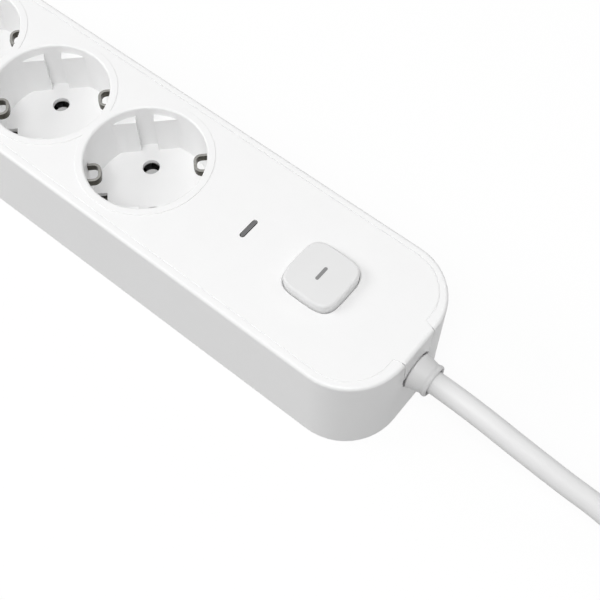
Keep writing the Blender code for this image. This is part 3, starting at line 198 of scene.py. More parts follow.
sky = bpy.data.worlds.new("soft_sky")
bpy.context.scene.world = sky
sky.use_nodes = True
sky_tree = sky.node_tree
sky_tree.nodes.clear()
soft = add_node(sky_tree, "ShaderNodeBackground", {"Color": linear("#ffffff"), "Strength": SKY_STRENGTH})
plain = add_node(sky_tree, "ShaderNodeBackground", {"Color": linear("#ffffff"), "Strength": 1.0})
sky_mix = add_node(
    sky_tree, "ShaderNodeMixShader", None,
    _0=white_to_camera(sky_tree), _1=soft.outputs[0], _2=plain.outputs[0],
)
add_node(sky_tree, "ShaderNodeOutputWorld", Surface=sky_mix.outputs[0])


def soft_lamp(name, place, size, power):
    light = bpy.data.lights.new(name, "AREA")
    light.shape = "DISK"
    light.size = size
    light.energy = power
    lamp = bpy.data.objects.new(name, light)
    bpy.context.scene.collection.objects.link(lamp)
    lamp.location = place
    lamp.rotation_mode = "QUATERNION"
    lamp.rotation_quaternion = (Vector(LAMP_AIM) - Vector(place)).to_track_quat("-Z", "Y")


for lamp_values in LAMPS:
    soft_lamp(*lamp_values)
print("floor, sky and", len(LAMPS), "lamps")

# %% [markdown]
# ## Plastics
# The shells are ABS, injection moulded against a finely eroded steel face: satin, very slightly uneven
# in gloss, with a grain of a few tenths of a millimetre that only shows as softness in the highlights.
# The button is the same plastic in a slightly greyer shade. The lead is soft PVC, extruded, with faint
# long waves in its gloss, and the gland and the shutters are greyer mouldings.

# %% Moulded and extruded plastics
PLASTIC_IOR = 1.53
PATCH_SIZE = 9 * MM
GRAIN_DEPTH = 0.02 * MM


def moulded_plastic(name, light_tone, dark_tone, roughness, grain_mm, bump):
    """Satin plastic: two near shades in wide patches, uneven gloss and a fine grain."""
    made, tree, place = new_material(name)
    patches = add_node(
        tree, "ShaderNodeTexNoise", {"Scale": 1 / PATCH_SIZE, "Detail": 4.0, "Roughness": 0.6}, Vector=place,
    )
    tone = add_node(
        tree, "ShaderNodeMix", {"data_type": "RGBA", 6: linear(dark_tone), 7: linear(light_tone)},
        _0=patches.outputs["Fac"],
    )
    grain = add_node(
        tree, "ShaderNodeTexNoise", {"Scale": 1 / (grain_mm * MM), "Detail": 2.0}, Vector=place,
    )
    gloss = add_node(
        tree, "ShaderNodeMapRange", {"To Min": roughness - 0.05, "To Max": roughness + 0.06},
        Value=patches.outputs["Fac"],
    )
    relief = add_node(
        tree, "ShaderNodeBump", {"Strength": bump, "Distance": GRAIN_DEPTH}, Height=grain.outputs["Fac"],
    )
    shader = add_node(
        tree, "ShaderNodeBsdfPrincipled", {"IOR": PLASTIC_IOR},
        Base_Color=tone.outputs[2], Roughness=gloss.outputs[0], Normal=relief.outputs[0],
    )
    close_material(tree, shader)
    return made


# Shells: nearly white, satin, so the light runs out softly along the rim.
WHITE_ABS = moulded_plastic("white_abs_moulded", "#f4f4f4", "#f1f1f1", 0.42, 0.35, 0.5)
# Button: a shade greyer than the plate and a touch glossier, so it reads as a piece of its own.
BUTTON_ABS = moulded_plastic("offwhite_abs_button", "#e5e5e5", "#e1e1e1", 0.40, 0.35, 0.4)
# Lead, plug and sleeve: soft and duller, with a broad highlight along the cord.
WHITE_PVC = moulded_plastic("white_pvc_sheath", "#ececec", "#e8e8e8", 0.48, 0.6, 0.6)
# Gland: filled PVC, greyer and more matt, so the mouth of the case looks darker than the cord.
GLAND_PVC = moulded_plastic("grey_white_pvc_bushing", "#dddddd", "#d8d8d8", 0.55, 0.6, 0.6)
# Shutters: pale grey, seen only as a crescent in a dark hole.
SHUTTER_PP = moulded_plastic("grey_polypropylene_shutter", "#c6c6c6", "#bebebe", 0.50, 0.4, 0.4)
# Switch body: black and slightly glossy.
BLACK_NYLON = moulded_plastic("black_nylon_moulded", "#1b1b1c", "#141415", 0.50, 0.4, 0.5)
# Live and neutral cores: plain strong colours under a waxy gloss.
BROWN_PVC = moulded_plastic("brown_pvc_core", "#5b3a26", "#523321", 0.45, 0.5, 0.4)
BLUE_PVC = moulded_plastic("blue_pvc_core", "#2f62a8", "#2a5a9d", 0.45, 0.5, 0.4)
# Dash on the button: flat grey printing ink.
MARK_INK = moulded_plastic("grey_printing_ink", "#888888", "#828282", 0.50, 0.3, 0.3)
print("plastics made")

# %% [markdown]
# The earth core is green with a yellow stripe, so its colour switches with the place across the lead.
# The pilot window is smoked polycarbonate, nearly opaque from outside: a dark grey bar with a small
# gloss. The small lamp is clear glass with a warm tint.

# %% Striped core, smoked lens and lamp glass
STRIPE_SIZE = 22 * MM
LENS_CLOUD = 2.5 * MM
LENS_IOR = 1.58
GLASS_CLOUD = 3 * MM
GLASS_IOR = 1.47


def striped_core():
    made, tree, place = new_material("green_yellow_pvc_core")
    bands = add_node(
        tree, "ShaderNodeTexWave",
        {"Scale": 1 / STRIPE_SIZE, "Distortion": 0.4, "bands_direction": "DIAGONAL"}, Vector=place,
    )
    edge = add_node(
        tree, "ShaderNodeMapRange", {"From Min": 0.45, "From Max": 0.55}, Value=bands.outputs["Fac"],
    )
    tone = add_node(
        tree, "ShaderNodeMix", {"data_type": "RGBA", 6: linear("#3f8f3a"), 7: linear("#e5d13a")},
        _0=edge.outputs[0],
    )
    shader = add_node(
        tree, "ShaderNodeBsdfPrincipled", {"Roughness": 0.45, "IOR": PLASTIC_IOR}, Base_Color=tone.outputs[2],
    )
    close_material(tree, shader)
    return made


def smoked_lens():
    made, tree, place = new_material("smoked_polycarbonate")
    cloud = add_node(tree, "ShaderNodeTexNoise", {"Scale": 1 / LENS_CLOUD, "Detail": 2.0}, Vector=place)
    tone = add_node(
        tree, "ShaderNodeMix", {"data_type": "RGBA", 6: linear("#5f5f60"), 7: linear("#6a6a6b")},
        _0=cloud.outputs["Fac"],
    )
    shader = add_node(
        tree, "ShaderNodeBsdfPrincipled", {"Roughness": 0.30, "IOR": LENS_IOR}, Base_Color=tone.outputs[2],
    )
    close_material(tree, shader)
    return made


def lamp_glass():
    made, tree, place = new_material("warm_lamp_glass")
    cloud = add_node(tree, "ShaderNodeTexNoise", {"Scale": 1 / GLASS_CLOUD, "Detail": 1.0}, Vector=place)
    tone = add_node(
        tree, "ShaderNodeMix", {"data_type": "RGBA", 6: linear("#f0c8a4"), 7: linear("#f4d6ba")},
        _0=cloud.outputs["Fac"],
    )
    shader = add_node(
        tree, "ShaderNodeBsdfPrincipled",
        {"Roughness": 0.06, "IOR": GLASS_IOR, "Transmission Weight": 0.8}, Base_Color=tone.outputs[2],
    )
    close_material(tree, shader)
    return made


EARTH_PVC = striped_core()
SMOKED_LENS = smoked_lens()
LAMP_GLASS = lamp_glass()
print("striped core, lens and glass made")

# %% [markdown]
# ## Metals
# The rails for the pins are tinned brass and the others bare brass, screws are zinc plated, and the plug's
# pins are nickel on brass. All were rolled or drawn, so fine lines run along them and break up the gloss.
# They differ in colour, in gloss and in how far the lines are stretched.

# %% Rolled and plated metals
STAIN_SIZE = 3 * MM
ROLLING_DEPTH = 0.01 * MM


def rolled_metal(name, light_tone, dark_tone, roughness, line_mm=0.25, stretch=12.0):
    made, tree, place = new_material(name)
    lines = add_node(
        tree, "ShaderNodeMapping", {"Scale": (1 / stretch, 1 / stretch, 1.0)}, Vector=place,
    )
    rolling = add_node(
        tree, "ShaderNodeTexNoise", {"Scale": 1 / (line_mm * MM), "Detail": 3.0}, Vector=lines.outputs[0],
    )
    stain = add_node(
        tree, "ShaderNodeTexNoise", {"Scale": 1 / STAIN_SIZE, "Detail": 3.0}, Vector=place,
    )
    tone = add_node(
        tree, "ShaderNodeMix", {"data_type": "RGBA", 6: linear(dark_tone), 7: linear(light_tone)},
        _0=stain.outputs["Fac"],
    )
    gloss = add_node(
        tree, "ShaderNodeMapRange", {"To Min": roughness - 0.07, "To Max": roughness + 0.09},
        Value=rolling.outputs["Fac"],
    )
    relief = add_node(
        tree, "ShaderNodeBump", {"Strength": 0.3, "Distance": ROLLING_DEPTH}, Height=rolling.outputs["Fac"],
    )
    shader = add_node(
        tree, "ShaderNodeBsdfPrincipled", {"Metallic": 1.0},
        Base_Color=tone.outputs[2], Roughness=gloss.outputs[0], Normal=relief.outputs[0],
    )
    close_material(tree, shader)
    return made


# Tin: pale and even. Spring wire: a darker, warmer grey.
TINNED_BRASS = rolled_metal("tinned_brass_strip", "#d8d7d2", "#c8c6c0", 0.25)
SPRING_WIRE = rolled_metal("drawn_spring_wire", "#b4b0a8", "#9d9890", 0.30)
# Bare brass: warm yellow with a soft sheen.
BRASS_STRIP = rolled_metal("rolled_brass_strip", "#cfae6b", "#b99756", 0.33)
# Zinc: cool grey without a clear direction. Nickel: the brightest, slightly warm.
ZINC_STEEL = rolled_metal("zinc_plated_screw_steel", "#b9bbbd", "#a6a8aa", 0.36, 0.15, 1.0)
NICKEL_PIN = rolled_metal("nickel_plated_brass_pin", "#c9c4ba", "#bab4a8", 0.22, 0.2, 8.0)
print("metals made")

# %% [markdown]
# The earth clips are blanked from strip and bent on edge. Their colour carries painted light and shade:
# surfaces that face up on the piece get a light tone as a painted highlight, and upright faces a dark tone as
# painted shade. The two are told apart by which way the surface faces on the piece itself, so the painted
# light and shade stay with the clip from every side.

# %% Clip steel with painted light and shade
SCUFF_SIZE = 0.8 * MM


def painted_light_strip():
    made, tree, place = new_material("nickel_steel_painted_light")
    facing = add_node(
        tree, "ShaderNodeSeparateXYZ", None,
        Vector=add_node(tree, "ShaderNodeTexCoord").outputs["Normal"],
    )
    # Painted light and shade: faces turned up get the light tone as a painted highlight, upright faces the
    # dark tone as painted shade.
    edge = add_node(
        tree, "ShaderNodeMapRange", {"From Min": 0.45, "From Max": 0.98}, Value=facing.outputs["Z"],
    )
    scuffs = add_node(tree, "ShaderNodeTexNoise", {"Scale": 1 / SCUFF_SIZE, "Detail": 4.0}, Vector=place)
    bright = add_node(
        tree, "ShaderNodeMix", {"data_type": "RGBA", 6: linear("#83827e"), 7: linear("#b3b2ae")},
        _0=scuffs.outputs["Fac"],
    )
    tone = add_node(
        tree, "ShaderNodeMix", {"data_type": "RGBA", 6: linear("#57554f")},
        _0=edge.outputs[0], _7=bright.outputs[2],
    )
    gloss = add_node(
        tree, "ShaderNodeMapRange", {"To Min": 0.24, "To Max": 0.40}, Value=scuffs.outputs["Fac"],
    )
    shader = add_node(
        tree, "ShaderNodeBsdfPrincipled", {"Metallic": 1.0},
        Base_Color=tone.outputs[2], Roughness=gloss.outputs[0],
    )
    close_material(tree, shader)
    return made


CLIP_STEEL = painted_light_strip()
print("clip steel made")

# %% [markdown]
# ## Hook tape
# The hank is held by a strip of white hook-and-loop tape. Its woven face shows as small ribs across the
# strip, about a millimetre apart, with a soft sheen. The wave node draws three ribs in RIB_WAVE, and the
# hollows between them are given a darker tone, which is painted shade.

# %% Woven tape
RIB_WAVE = 3.6 * MM
FUZZ_SIZE = 0.4 * MM
WEAVE_DEPTH = 0.12 * MM


def woven_tape():
    made, tree, place = new_material("white_woven_tape")
    ribs = add_node(
        tree, "ShaderNodeTexWave",
        {"Scale": 1 / RIB_WAVE, "Distortion": 1.5, "Detail": 2.0, "bands_direction": "Z"}, Vector=place,
    )
    fuzz = add_node(tree, "ShaderNodeTexNoise", {"Scale": 1 / FUZZ_SIZE, "Detail": 3.0}, Vector=place)
    height = add_node(
        tree, "ShaderNodeMath", {"operation": "ADD"}, _0=ribs.outputs["Fac"], _1=fuzz.outputs["Fac"],
    )
    # Painted shade: the tone is darker in the hollows between the ribs, on the same wave as the bump.
    tone = add_node(
        tree, "ShaderNodeMix", {"data_type": "RGBA", 6: linear("#dcdcda"), 7: linear("#efefed")},
        _0=ribs.outputs["Fac"],
    )
    relief = add_node(
        tree, "ShaderNodeBump", {"Strength": 0.7, "Distance": WEAVE_DEPTH}, Height=height.outputs[0],
    )
    shader = add_node(
        tree, "ShaderNodeBsdfPrincipled", {"Roughness": 0.8, "Sheen Weight": 0.3},
        Base_Color=tone.outputs[2], Normal=relief.outputs[0],
    )
    close_material(tree, shader)
    return made


HOOK_TAPE = woven_tape()
print("tape made")

# %% [markdown]
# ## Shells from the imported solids
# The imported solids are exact, but they are loose triangles with knife edges, and a moulding has none: a
# tool's corners are always a little round, and those rounds are what catch the light along the seam. So
# each visible shell is a welded copy of its solid. Coplanar triangles are dissolved back into whole
# faces, the chosen edges are bevelled by a tenth to a third of a millimetre, and weighted normals keep
# the big faces flat.

# %% Helpers for copies and edges
WELD = 0.002 * MM
SHARP = math.radians(32)
FLAT = math.radians(0.4)
CORNER = math.radians(40)


def welded_copy(node):
    shape = bmesh.new()
    shape.from_mesh(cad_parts[node].data)
    bmesh.ops.remove_doubles(shape, verts=shape.verts, dist=WELD)
    bmesh.ops.dissolve_limit(shape, angle_limit=FLAT, verts=shape.verts, edges=shape.edges)
    return shape


def sharp_edges(shape, where):
    """Edges with a clear corner whose middle passes a test."""
    found = []
    for edge in shape.edges:
        if len(edge.link_faces) == 2 and edge.calc_face_angle(0.0) > CORNER:
            middle = (edge.verts[0].co + edge.verts[1].co) / 2
            if where(middle, edge):
                found.append(edge)
    return found


def soften(shape, edges, width, segments=3):
    bmesh.ops.bevel(
        shape, geom=edges, offset=width, offset_type="OFFSET", affect="EDGES", segments=segments,
        profile=0.5, material=-1, clamp_overlap=True,
    )


def place_piece(name, shape, material, body, slot, *nodes):
    """Turn a bmesh into a piece of the strip that rides on a body and stands for CAD nodes."""
    data = bpy.data.meshes.new(name)
    shape.to_mesh(data)
    shape.free()
    if "custom_normal" in data.attributes:
        data.attributes.remove(data.attributes["custom_normal"])
    data.materials.append(material)
    data.shade_smooth()
    data.set_sharp_from_angle(angle=SHARP)
    piece = bpy.data.objects.new(name, data)
    bpy.context.scene.collection.objects.link(piece)
    flat = piece.modifiers.new("flat_faces", "WEIGHTED_NORMAL")
    flat.keep_sharp = True
    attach(piece, body)
    if nodes:
        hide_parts(*nodes)
    print(name, len(data.polygons), "faces")
    return piece


# %% [markdown]
# ## Tray and cover
# The cover is let into the tray, and both are moulded, so the joint is two small rounds with a thin
# shadow between them. The wells have four flat-fronted blocks and two pin holes, each with the round of
# its own cutter. Every group of edges is found by where it lies and gets its own bevel call, because
# one call gives all its edges the width that the tightest of them allows.

# %% Places on the plate
TOP = 39.0 * MM
RING_TOP = 39.25 * MM
WELL_FLOOR_Z = 20.8 * MM
SOCKETS = [5.5 * MM, -37.2 * MM, -79.9 * MM]
BUTTON_X = 76.5 * MM
WINDOW_X = 48.4 * MM
CABLE_END = 112.5 * MM
RING_REACH = 22.9 * MM
PIN_OFFSET = 6.72 * MM
PIN_REACH = 3.2 * MM
BLOCK_FACE = 15.9 * MM
BLOCK_REACH = 19.4 * MM
BLOCK_TOP = 36.5 * MM
RING_INSIDE = 22.0 * MM
HALF_BUTTON = 12.0 * MM
HALF_WINDOW = (3.0 * MM, 5.0 * MM)
LEVEL = 0.02 * MM


def level_at(edge, height):
    return all(abs(vert.co.z - height) < LEVEL for vert in edge.verts)


def well_of(point):
    """The nearest socket's axis, as the offset of a point from it in plan."""
    return min((Vector((point.x - x, point.y)) for x in SOCKETS), key=lambda offset: offset.length)


def on_button(point):
    return abs(point.x - BUTTON_X) < HALF_BUTTON and abs(point.y) < HALF_BUTTON


def on_button_hole(point, edge):
    return level_at(edge, TOP) and on_button(point)


def on_window(point):
    return abs(point.x - WINDOW_X) < HALF_WINDOW[0] and abs(point.y) < HALF_WINDOW[1]


def on_window_slot(point, edge):
    return level_at(edge, TOP) and on_window(point)


def on_ring(point, edge):
    return level_at(edge, RING_TOP) and well_of(point).length > RING_INSIDE


def on_seam(point, edge):
    if not level_at(edge, TOP):
        return False
    return well_of(point).length > RING_REACH and not on_button(point) and not on_window(point)


def on_pin_hole(point, edge):
    if not level_at(edge, WELL_FLOOR_Z):
        return False
    offset = well_of(point)
    holes = (Vector((-PIN_OFFSET, PIN_OFFSET)), Vector((PIN_OFFSET, -PIN_OFFSET)))
    return any((offset - hole).length < PIN_REACH for hole in holes)


def on_block(point, edge):
    offset = well_of(point)
    across = abs(offset.x - offset.y) / math.sqrt(2)
    inside = offset.length < BLOCK_REACH and WELL_FLOOR_Z < point.z < BLOCK_TOP
    return inside and across > BLOCK_FACE and edge.is_convex


print(len(SOCKETS), "sockets,", len(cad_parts), "packed nodes")

# %% Cover
cover_shape = welded_copy("top_cover")
seam_shape = cover_shape.copy()
hole_shape = cover_shape.copy()
SEAM_ROUND = 0.12 * MM
ROUNDS = (
    (on_pin_hole, 0.15 * MM),
    (on_block, 0.35 * MM),
    (on_ring, 0.22 * MM),
    (on_button_hole, 0.25 * MM),
    (on_window_slot, 0.08 * MM),
    (on_seam, SEAM_ROUND),
)
for where, width in ROUNDS:
    edges = sharp_edges(cover_shape, where)
    soften(cover_shape, edges, width)
    print(len(edges), "edges rounded by", round(width / MM, 2), "mm")
place_piece("case_cover", cover_shape, WHITE_ABS, "strip", "white_abs", "top_cover")

# %% Tray
tray_shape = welded_copy("base_tray")
INNER_RIM = (108.9 * MM, 24.9 * MM)
HALF_SLOT = 9 * MM
SLOT_ROUND = 0.15 * MM


def on_inner_rim(point, edge):
    return level_at(edge, TOP) and abs(point.x) < INNER_RIM[0] and abs(point.y) < INNER_RIM[1] + LEVEL


def on_cable_slot(point, edge):
    return point.x > CABLE_END - LEVEL and abs(point.y) < HALF_SLOT and edge.is_convex


rim_edges = sharp_edges(tray_shape, on_inner_rim)
soften(tray_shape, rim_edges, SEAM_ROUND)
slot_edges = sharp_edges(tray_shape, on_cable_slot)
soften(tray_shape, slot_edges, SLOT_ROUND)
print(len(rim_edges), "rim edges and", len(slot_edges), "slot edges rounded")
place_piece("case_tray", tray_shape, WHITE_ABS, "strip", "white_abs", "base_tray")

# %% [markdown]
# The tray's ledge closes the joint just below the plate, so no light falls past it. A thin white fillet
# in the gap does the same here: the cover's own outline, lowered, drawn down and given a thickness. A
# collar of the same kind stands in the gap round the button and leaves it room to move. The upright joints
# beside the cover's tongue, over the gland, get two thin strips.

# %% Fillet in the joint and collar round the button
FILLET_DROP = 0.20 * MM
FILLET_HEIGHT = 1.2 * MM
FILLET_WIDTH = 0.26 * MM
COLLAR_DROP = 0.7 * MM
COLLAR_WIDTH = 0.3 * MM


def gap_band(shape, wanted, drop, width):
    """The outline that `wanted` picks, lowered, drawn down and given a thickness into the gap."""
    keep = set(sharp_edges(shape, wanted))
    bmesh.ops.delete(shape, geom=[edge for edge in shape.edges if edge not in keep], context="EDGES_FACES")
    loose = [vert for vert in shape.verts if not vert.link_edges]
    bmesh.ops.delete(shape, geom=loose, context="VERTS")
    bmesh.ops.translate(shape, vec=(0, 0, -drop), verts=shape.verts)
    drawn = bmesh.ops.extrude_edge_only(shape, edges=shape.edges[:])
    lower = [item for item in drawn["geom"] if isinstance(item, bmesh.types.BMVert)]
    bmesh.ops.translate(shape, vec=(0, 0, -FILLET_HEIGHT), verts=lower)
    bmesh.ops.recalc_face_normals(shape, faces=shape.faces)
    bmesh.ops.solidify(shape, geom=shape.faces[:], thickness=-width)
    bmesh.ops.recalc_face_normals(shape, faces=shape.faces)
    return shape


fillet_shape = gap_band(seam_shape, on_seam, FILLET_DROP, FILLET_WIDTH)
place_piece("joint_fillet", fillet_shape, WHITE_ABS, "strip", "white_abs")
collar_shape = gap_band(hole_shape, on_button_hole, COLLAR_DROP, -COLLAR_WIDTH)
place_piece("button_collar", collar_shape, WHITE_ABS, "strip", "white_abs")

# %% Strips beside the tongue
TONGUE_SIDE = 6.85 * MM
TONGUE_FOOT = 27.4 * MM


def tongue_strips():
    """Two thin bars in the upright joints of the cover's tongue, set back from the end wall."""
    shape = bmesh.new()
    for side in (1, -1):
        bar = bmesh.ops.create_cube(shape, size=1)["verts"]
        height = TOP - FILLET_DROP - TONGUE_FOOT
        bmesh.ops.scale(shape, vec=(FILLET_WIDTH, FILLET_WIDTH, height), verts=bar)
        middle = (CABLE_END - FILLET_DROP - FILLET_WIDTH / 2, side * TONGUE_SIDE, TONGUE_FOOT + height / 2)
        bmesh.ops.translate(shape, vec=middle, verts=bar)
    return shape


place_piece("tongue_strips", tongue_strips(), WHITE_ABS, "strip", "white_abs")

# %% [markdown]
# ## Button and window
# The push button is a separate moulding in a greyer shade, with a grey dash printed on its crown: a thin
# film of ink that lies on top. The window is a smoked bar, flush with the plate.

# %% Button, dash and window
CROWN = 42.0 * MM
DASH_LENGTH = 5.2 * MM
DASH_WIDTH = 1.15 * MM
DASH_THICK = 0.04 * MM

place_piece(
    "button_cap", welded_copy("push_button"), BUTTON_ABS, "button", "button_abs", "push_button",
)


def button_dash():
    """A round-ended bar: a circle pulled apart along Y and given a thickness."""
    shape = bmesh.new()
    bmesh.ops.create_circle(shape, cap_ends=True, segments=24, radius=DASH_WIDTH / 2)
    pull = (DASH_LENGTH - DASH_WIDTH) / 2
    for vert in shape.verts:
        vert.co.y += math.copysign(pull, vert.co.y)
    bmesh.ops.translate(shape, vec=(BUTTON_X, 0, CROWN), verts=shape.verts)
    raised = bmesh.ops.extrude_face_region(shape, geom=shape.faces[:])
    top = [item for item in raised["geom"] if isinstance(item, bmesh.types.BMVert)]
    bmesh.ops.translate(shape, vec=(0, 0, DASH_THICK), verts=top)
    bmesh.ops.recalc_face_normals(shape, faces=shape.faces)
    return shape


place_piece("button_dash", button_dash(), MARK_INK, "button", "smoked_lens")
place_piece(
    "pilot_window", welded_copy("indicator_lens"), SMOKED_LENS, "strip", "smoked_lens", "indicator_lens",
)

# %% [markdown]
# ## Earth clips
# Each well shows two clips: a strip bent into a loop that comes through the wall on edge. Blanking and
# plating leave the strip's edges a little round, and those edges are what glints.

# %% Clips
CLIP_LOW = 30.0 * MM
CLIP_ROUND = 0.15 * MM
for number in (1, 2, 3):
    node = f"earth_bracket_{number}"
    clip_shape = welded_copy(node)
    strip_edges = sharp_edges(clip_shape, lambda point, edge: point.z > CLIP_LOW)
    soften(clip_shape, strip_edges, CLIP_ROUND, 2)
    place_piece(f"earth_clips_{number}", clip_shape, CLIP_STEEL, "strip", "nickel_spring_steel", node)

# %% [markdown]
# ## Shutters
# Through each pin hole a pale tongue shows just under the floor of the well: the round end of a shutter
# that keeps small fingers out. It covers the inner part of the hole and leaves the rest dark. Each is a
# low disc with a rounded edge.

# %% Shutters
SHUTTER_RADIUS = 2.6 * MM
SHUTTER_THICK = 0.5 * MM
SHUTTER_TOP = WELL_FLOOR_Z - 2.6 * MM
SHUTTER_OFFSET = 5.65 * MM
SHUTTER_ROUND = 0.12 * MM


def pin_shutters():
    shape = bmesh.new()
    for x in SOCKETS:
        for side in (1, -1):
            made = bmesh.ops.create_cone(
                shape, cap_ends=True, segments=32, radius1=SHUTTER_RADIUS, radius2=SHUTTER_RADIUS,
                depth=SHUTTER_THICK,
            )
            middle = (x - side * SHUTTER_OFFSET, side * SHUTTER_OFFSET, SHUTTER_TOP - SHUTTER_THICK / 2)
            bmesh.ops.translate(shape, vec=middle, verts=made["verts"])
    soften(shape, sharp_edges(shape, lambda point, edge: True), SHUTTER_ROUND)
    return shape


place_piece("pin_shutters", pin_shutters(), SHUTTER_PP, "strip", "white_abs")

# %% [markdown]
# ## Return spring
# The spring under the button closes up when the button goes down. Here its coil is a welded copy of the
# imported one, given a mesh of its own.

# %% Spring
spring = place_piece(
    "spring_coil", welded_copy("return_spring"), SPRING_WIRE, "strip", "nickel_spring_steel", "return_spring",
)
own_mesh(spring)

# %% [markdown]
# ## Gland
# The gland is a soft bushing round the cord: a cone with a rolled lip at its mouth, a flange inside the
# case, and a narrow groove where it passes the wall, which reads as a dark line. A turned piece is one
# profile spun round the cord's axis.

# %% Gland
GLAND_Z = 24.5 * MM
GLAND_PROFILE_MM = (
    (5.2, 4.5), (6.55, 4.5), (6.8, 4.6), (6.9, 4.8), (6.8, 5.08), (6.5, 5.32), (6.1, 5.4), (5.7, 5.36),
    (5.35, 5.25), (5.05, 5.12), (4.7, 5.14), (1.0, 5.9), (0.55, 5.98), (0.3, 5.86), (0.2, 5.5),
    (0.0, 4.7), (-1.2, 4.7), (-1.4, 5.9), (-6.2, 5.9), (-6.2, 8.2), (-8.2, 8.2), (-8.2, 4.15), (5.0, 4.15),
)
GLAND_STEPS = 72


def turned_gland():
    shape = bmesh.new()
    ring = [
        shape.verts.new((CABLE_END + along * MM, 0, GLAND_Z + radius * MM))
        for along, radius in GLAND_PROFILE_MM
    ]
    line = [shape.edges.new(pair) for pair in zip(ring, ring[1:] + ring[:1])]
    bmesh.ops.spin(
        shape, geom=ring + line, cent=(CABLE_END, 0, GLAND_Z), axis=(1, 0, 0), dvec=(0, 0, 0),
        angle=2 * math.pi, steps=GLAND_STEPS, use_merge=True, use_duplicate=False,
    )
    bmesh.ops.remove_doubles(shape, verts=shape.verts, dist=WELD)
    bmesh.ops.recalc_face_normals(shape, faces=shape.faces)
    return shape


gland = place_piece("gland_bushing", turned_gland(), GLAND_PVC, "strip", "white_pvc", "cable_gland")

# %% [markdown]
# ## The mains lead
# The lead leaves the gland straight, sags to the table and is folded into a tied hank just outside the
# picture, with its plug lying on it. It is one round cord of one length, so it is one curve: the free
# stretch, three layers of long loops and the tail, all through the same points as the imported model.

# %% Cord route
CORD_DIAMETER = 7.2 * MM
CORD_FROM = 0.3 * MM
CORD_STEP = 3 * MM
CORD_ROUNDNESS = 6
CORD_ROUTE_MM = (
    (6.9, 0.0, 24.5), (15.5, 0.1, 24.0), (24.5, 0.4, 22.5), (34.5, 0.8, 20.0), (44.5, 1.4, 17.2),
    (54.5, 2.2, 14.2), (64.5, 3.2, 11.2), (71.5, 3.3, 8.9), (78.5, 2.6, 6.5), (85.5, 1.7, 4.6),
)
TAIL_ROUTE_MM = (
    (115.0, 52.1, 20.2), (103.0, 52.1, 21.1), (97.5, 52.1, 22.0), (92.6, 51.5, 23.5), (88.1, 50.0, 25.4),
    (80.6, 44.0, 29.2), (76.4, 35.3, 32.9), (76.4, 25.7, 36.3), (80.6, 17.0, 39.2), (88.1, 11.0, 41.3),
    (92.6, 9.5, 41.9),
)
PLUG_BACK_MM = (101.5, 8.9, 42.3)


def from_cable_end(points):
    return [Vector((CABLE_END + x * MM, y * MM, z * MM)) for x, y, z in points]


print(len(CORD_ROUTE_MM), "points to the hank,", len(TAIL_ROUTE_MM), "from it to the plug")

# %% [markdown]
# The hank is long loops in two columns. The cord goes round, shifts from the outer column to the inner
# one or back in a fold, and climbs to the next layer on a straight run. Shifts and climbs are given in
# turns from the start, and each is eased so that the cord never kinks.

# %% Hank
HANK_MIDDLE = (CABLE_END + 125.0 * MM, 30.5 * MM)
HANK_RUN = 50.0 * MM
HANK_RADIUS = 29.3 * MM
HANK_TURNS = 4.56
HANK_PITCH = 7.7 * MM
HANK_LAYER = 7.7 * MM
HANK_REST = 3.8 * MM
HANK_SHIFTS = ((0.69, 1.00, 1), (2.19, 2.50, -1), (3.69, 4.00, 1))
HANK_CLIMBS = ((1.50, 1.69), (2.85, 3.19))
HANK_MID_RADIUS = HANK_RADIUS - HANK_PITCH / 2
POINTS_PER_TURN = 80
TIE_PLACE = (HANK_MIDDLE[0] + 1.0 * MM, HANK_MIDDLE[1] - HANK_MID_RADIUS)
TIE_LIFT = 1.4 * MM
TIE_SPREAD = 16.0 * MM


def eased(share):
    share = min(max(share, 0), 1)
    return share * share * (3 - 2 * share)


def loop_point(part, radius):
    """A place on a long loop, as a share of one turn from the start of its near straight run."""
    straight = HANK_RUN / (2 * HANK_RUN + 2 * math.pi * HANK_MID_RADIUS)
    side = -1 if part < 0.5 else 1
    along = part % 0.5
    if along < straight:
        return -side * HANK_RUN * (along / straight - 0.5), side * radius
    angle = math.pi * (along - straight) / (0.5 - straight)
    return -side * (HANK_RUN / 2 + radius * math.sin(angle)), side * radius * math.cos(angle)


def hank_points():
    count = round(HANK_TURNS * POINTS_PER_TURN)
    points = []
    for i in range(count + 1):
        turns = HANK_TURNS * i / count
        inwards = sum(way * eased((turns - start) / (end - start)) for start, end, way in HANK_SHIFTS)
        layers = sum(eased((turns - start) / (end - start)) for start, end in HANK_CLIMBS)
        x, y = loop_point(turns % 1, HANK_RADIUS - HANK_PITCH * inwards)
        place = Vector((HANK_MIDDLE[0] + x, HANK_MIDDLE[1] + y, HANK_REST + HANK_LAYER * layers))
        from_tie = math.hypot(place.x - TIE_PLACE[0], place.y - TIE_PLACE[1])
        place.z += TIE_LIFT * math.exp(-(from_tie / TIE_SPREAD) ** 2)
        points.append(place)
    return points


hank = hank_points()
print(f"hank of {HANK_TURNS} turns in {len(HANK_CLIMBS) + 1} layers")

# %% The whole route


def smooth_route(knots, step):
    """Points about a step apart on a smooth curve through every knot."""
    runs = [(end - start).length for start, end in zip(knots, knots[1:])]
    slopes = [(end - start) / run for start, end, run in zip(knots, knots[1:], runs)]
    leans = [slopes[0]] + [(a + b) / 2 for a, b in zip(slopes, slopes[1:])] + [slopes[-1]]
    route = []
    for i, run in enumerate(runs):
        pieces = max(1, round(run / step))
        for k in range(pieces):
            t = k / pieces
            rise = eased(t)
            route.append(
                knots[i] * (1 - rise) + knots[i + 1] * rise
                + leans[i] * run * t * (1 - t) ** 2 - leans[i + 1] * run * t * t * (1 - t)
            )
    return route + [knots[-1]]


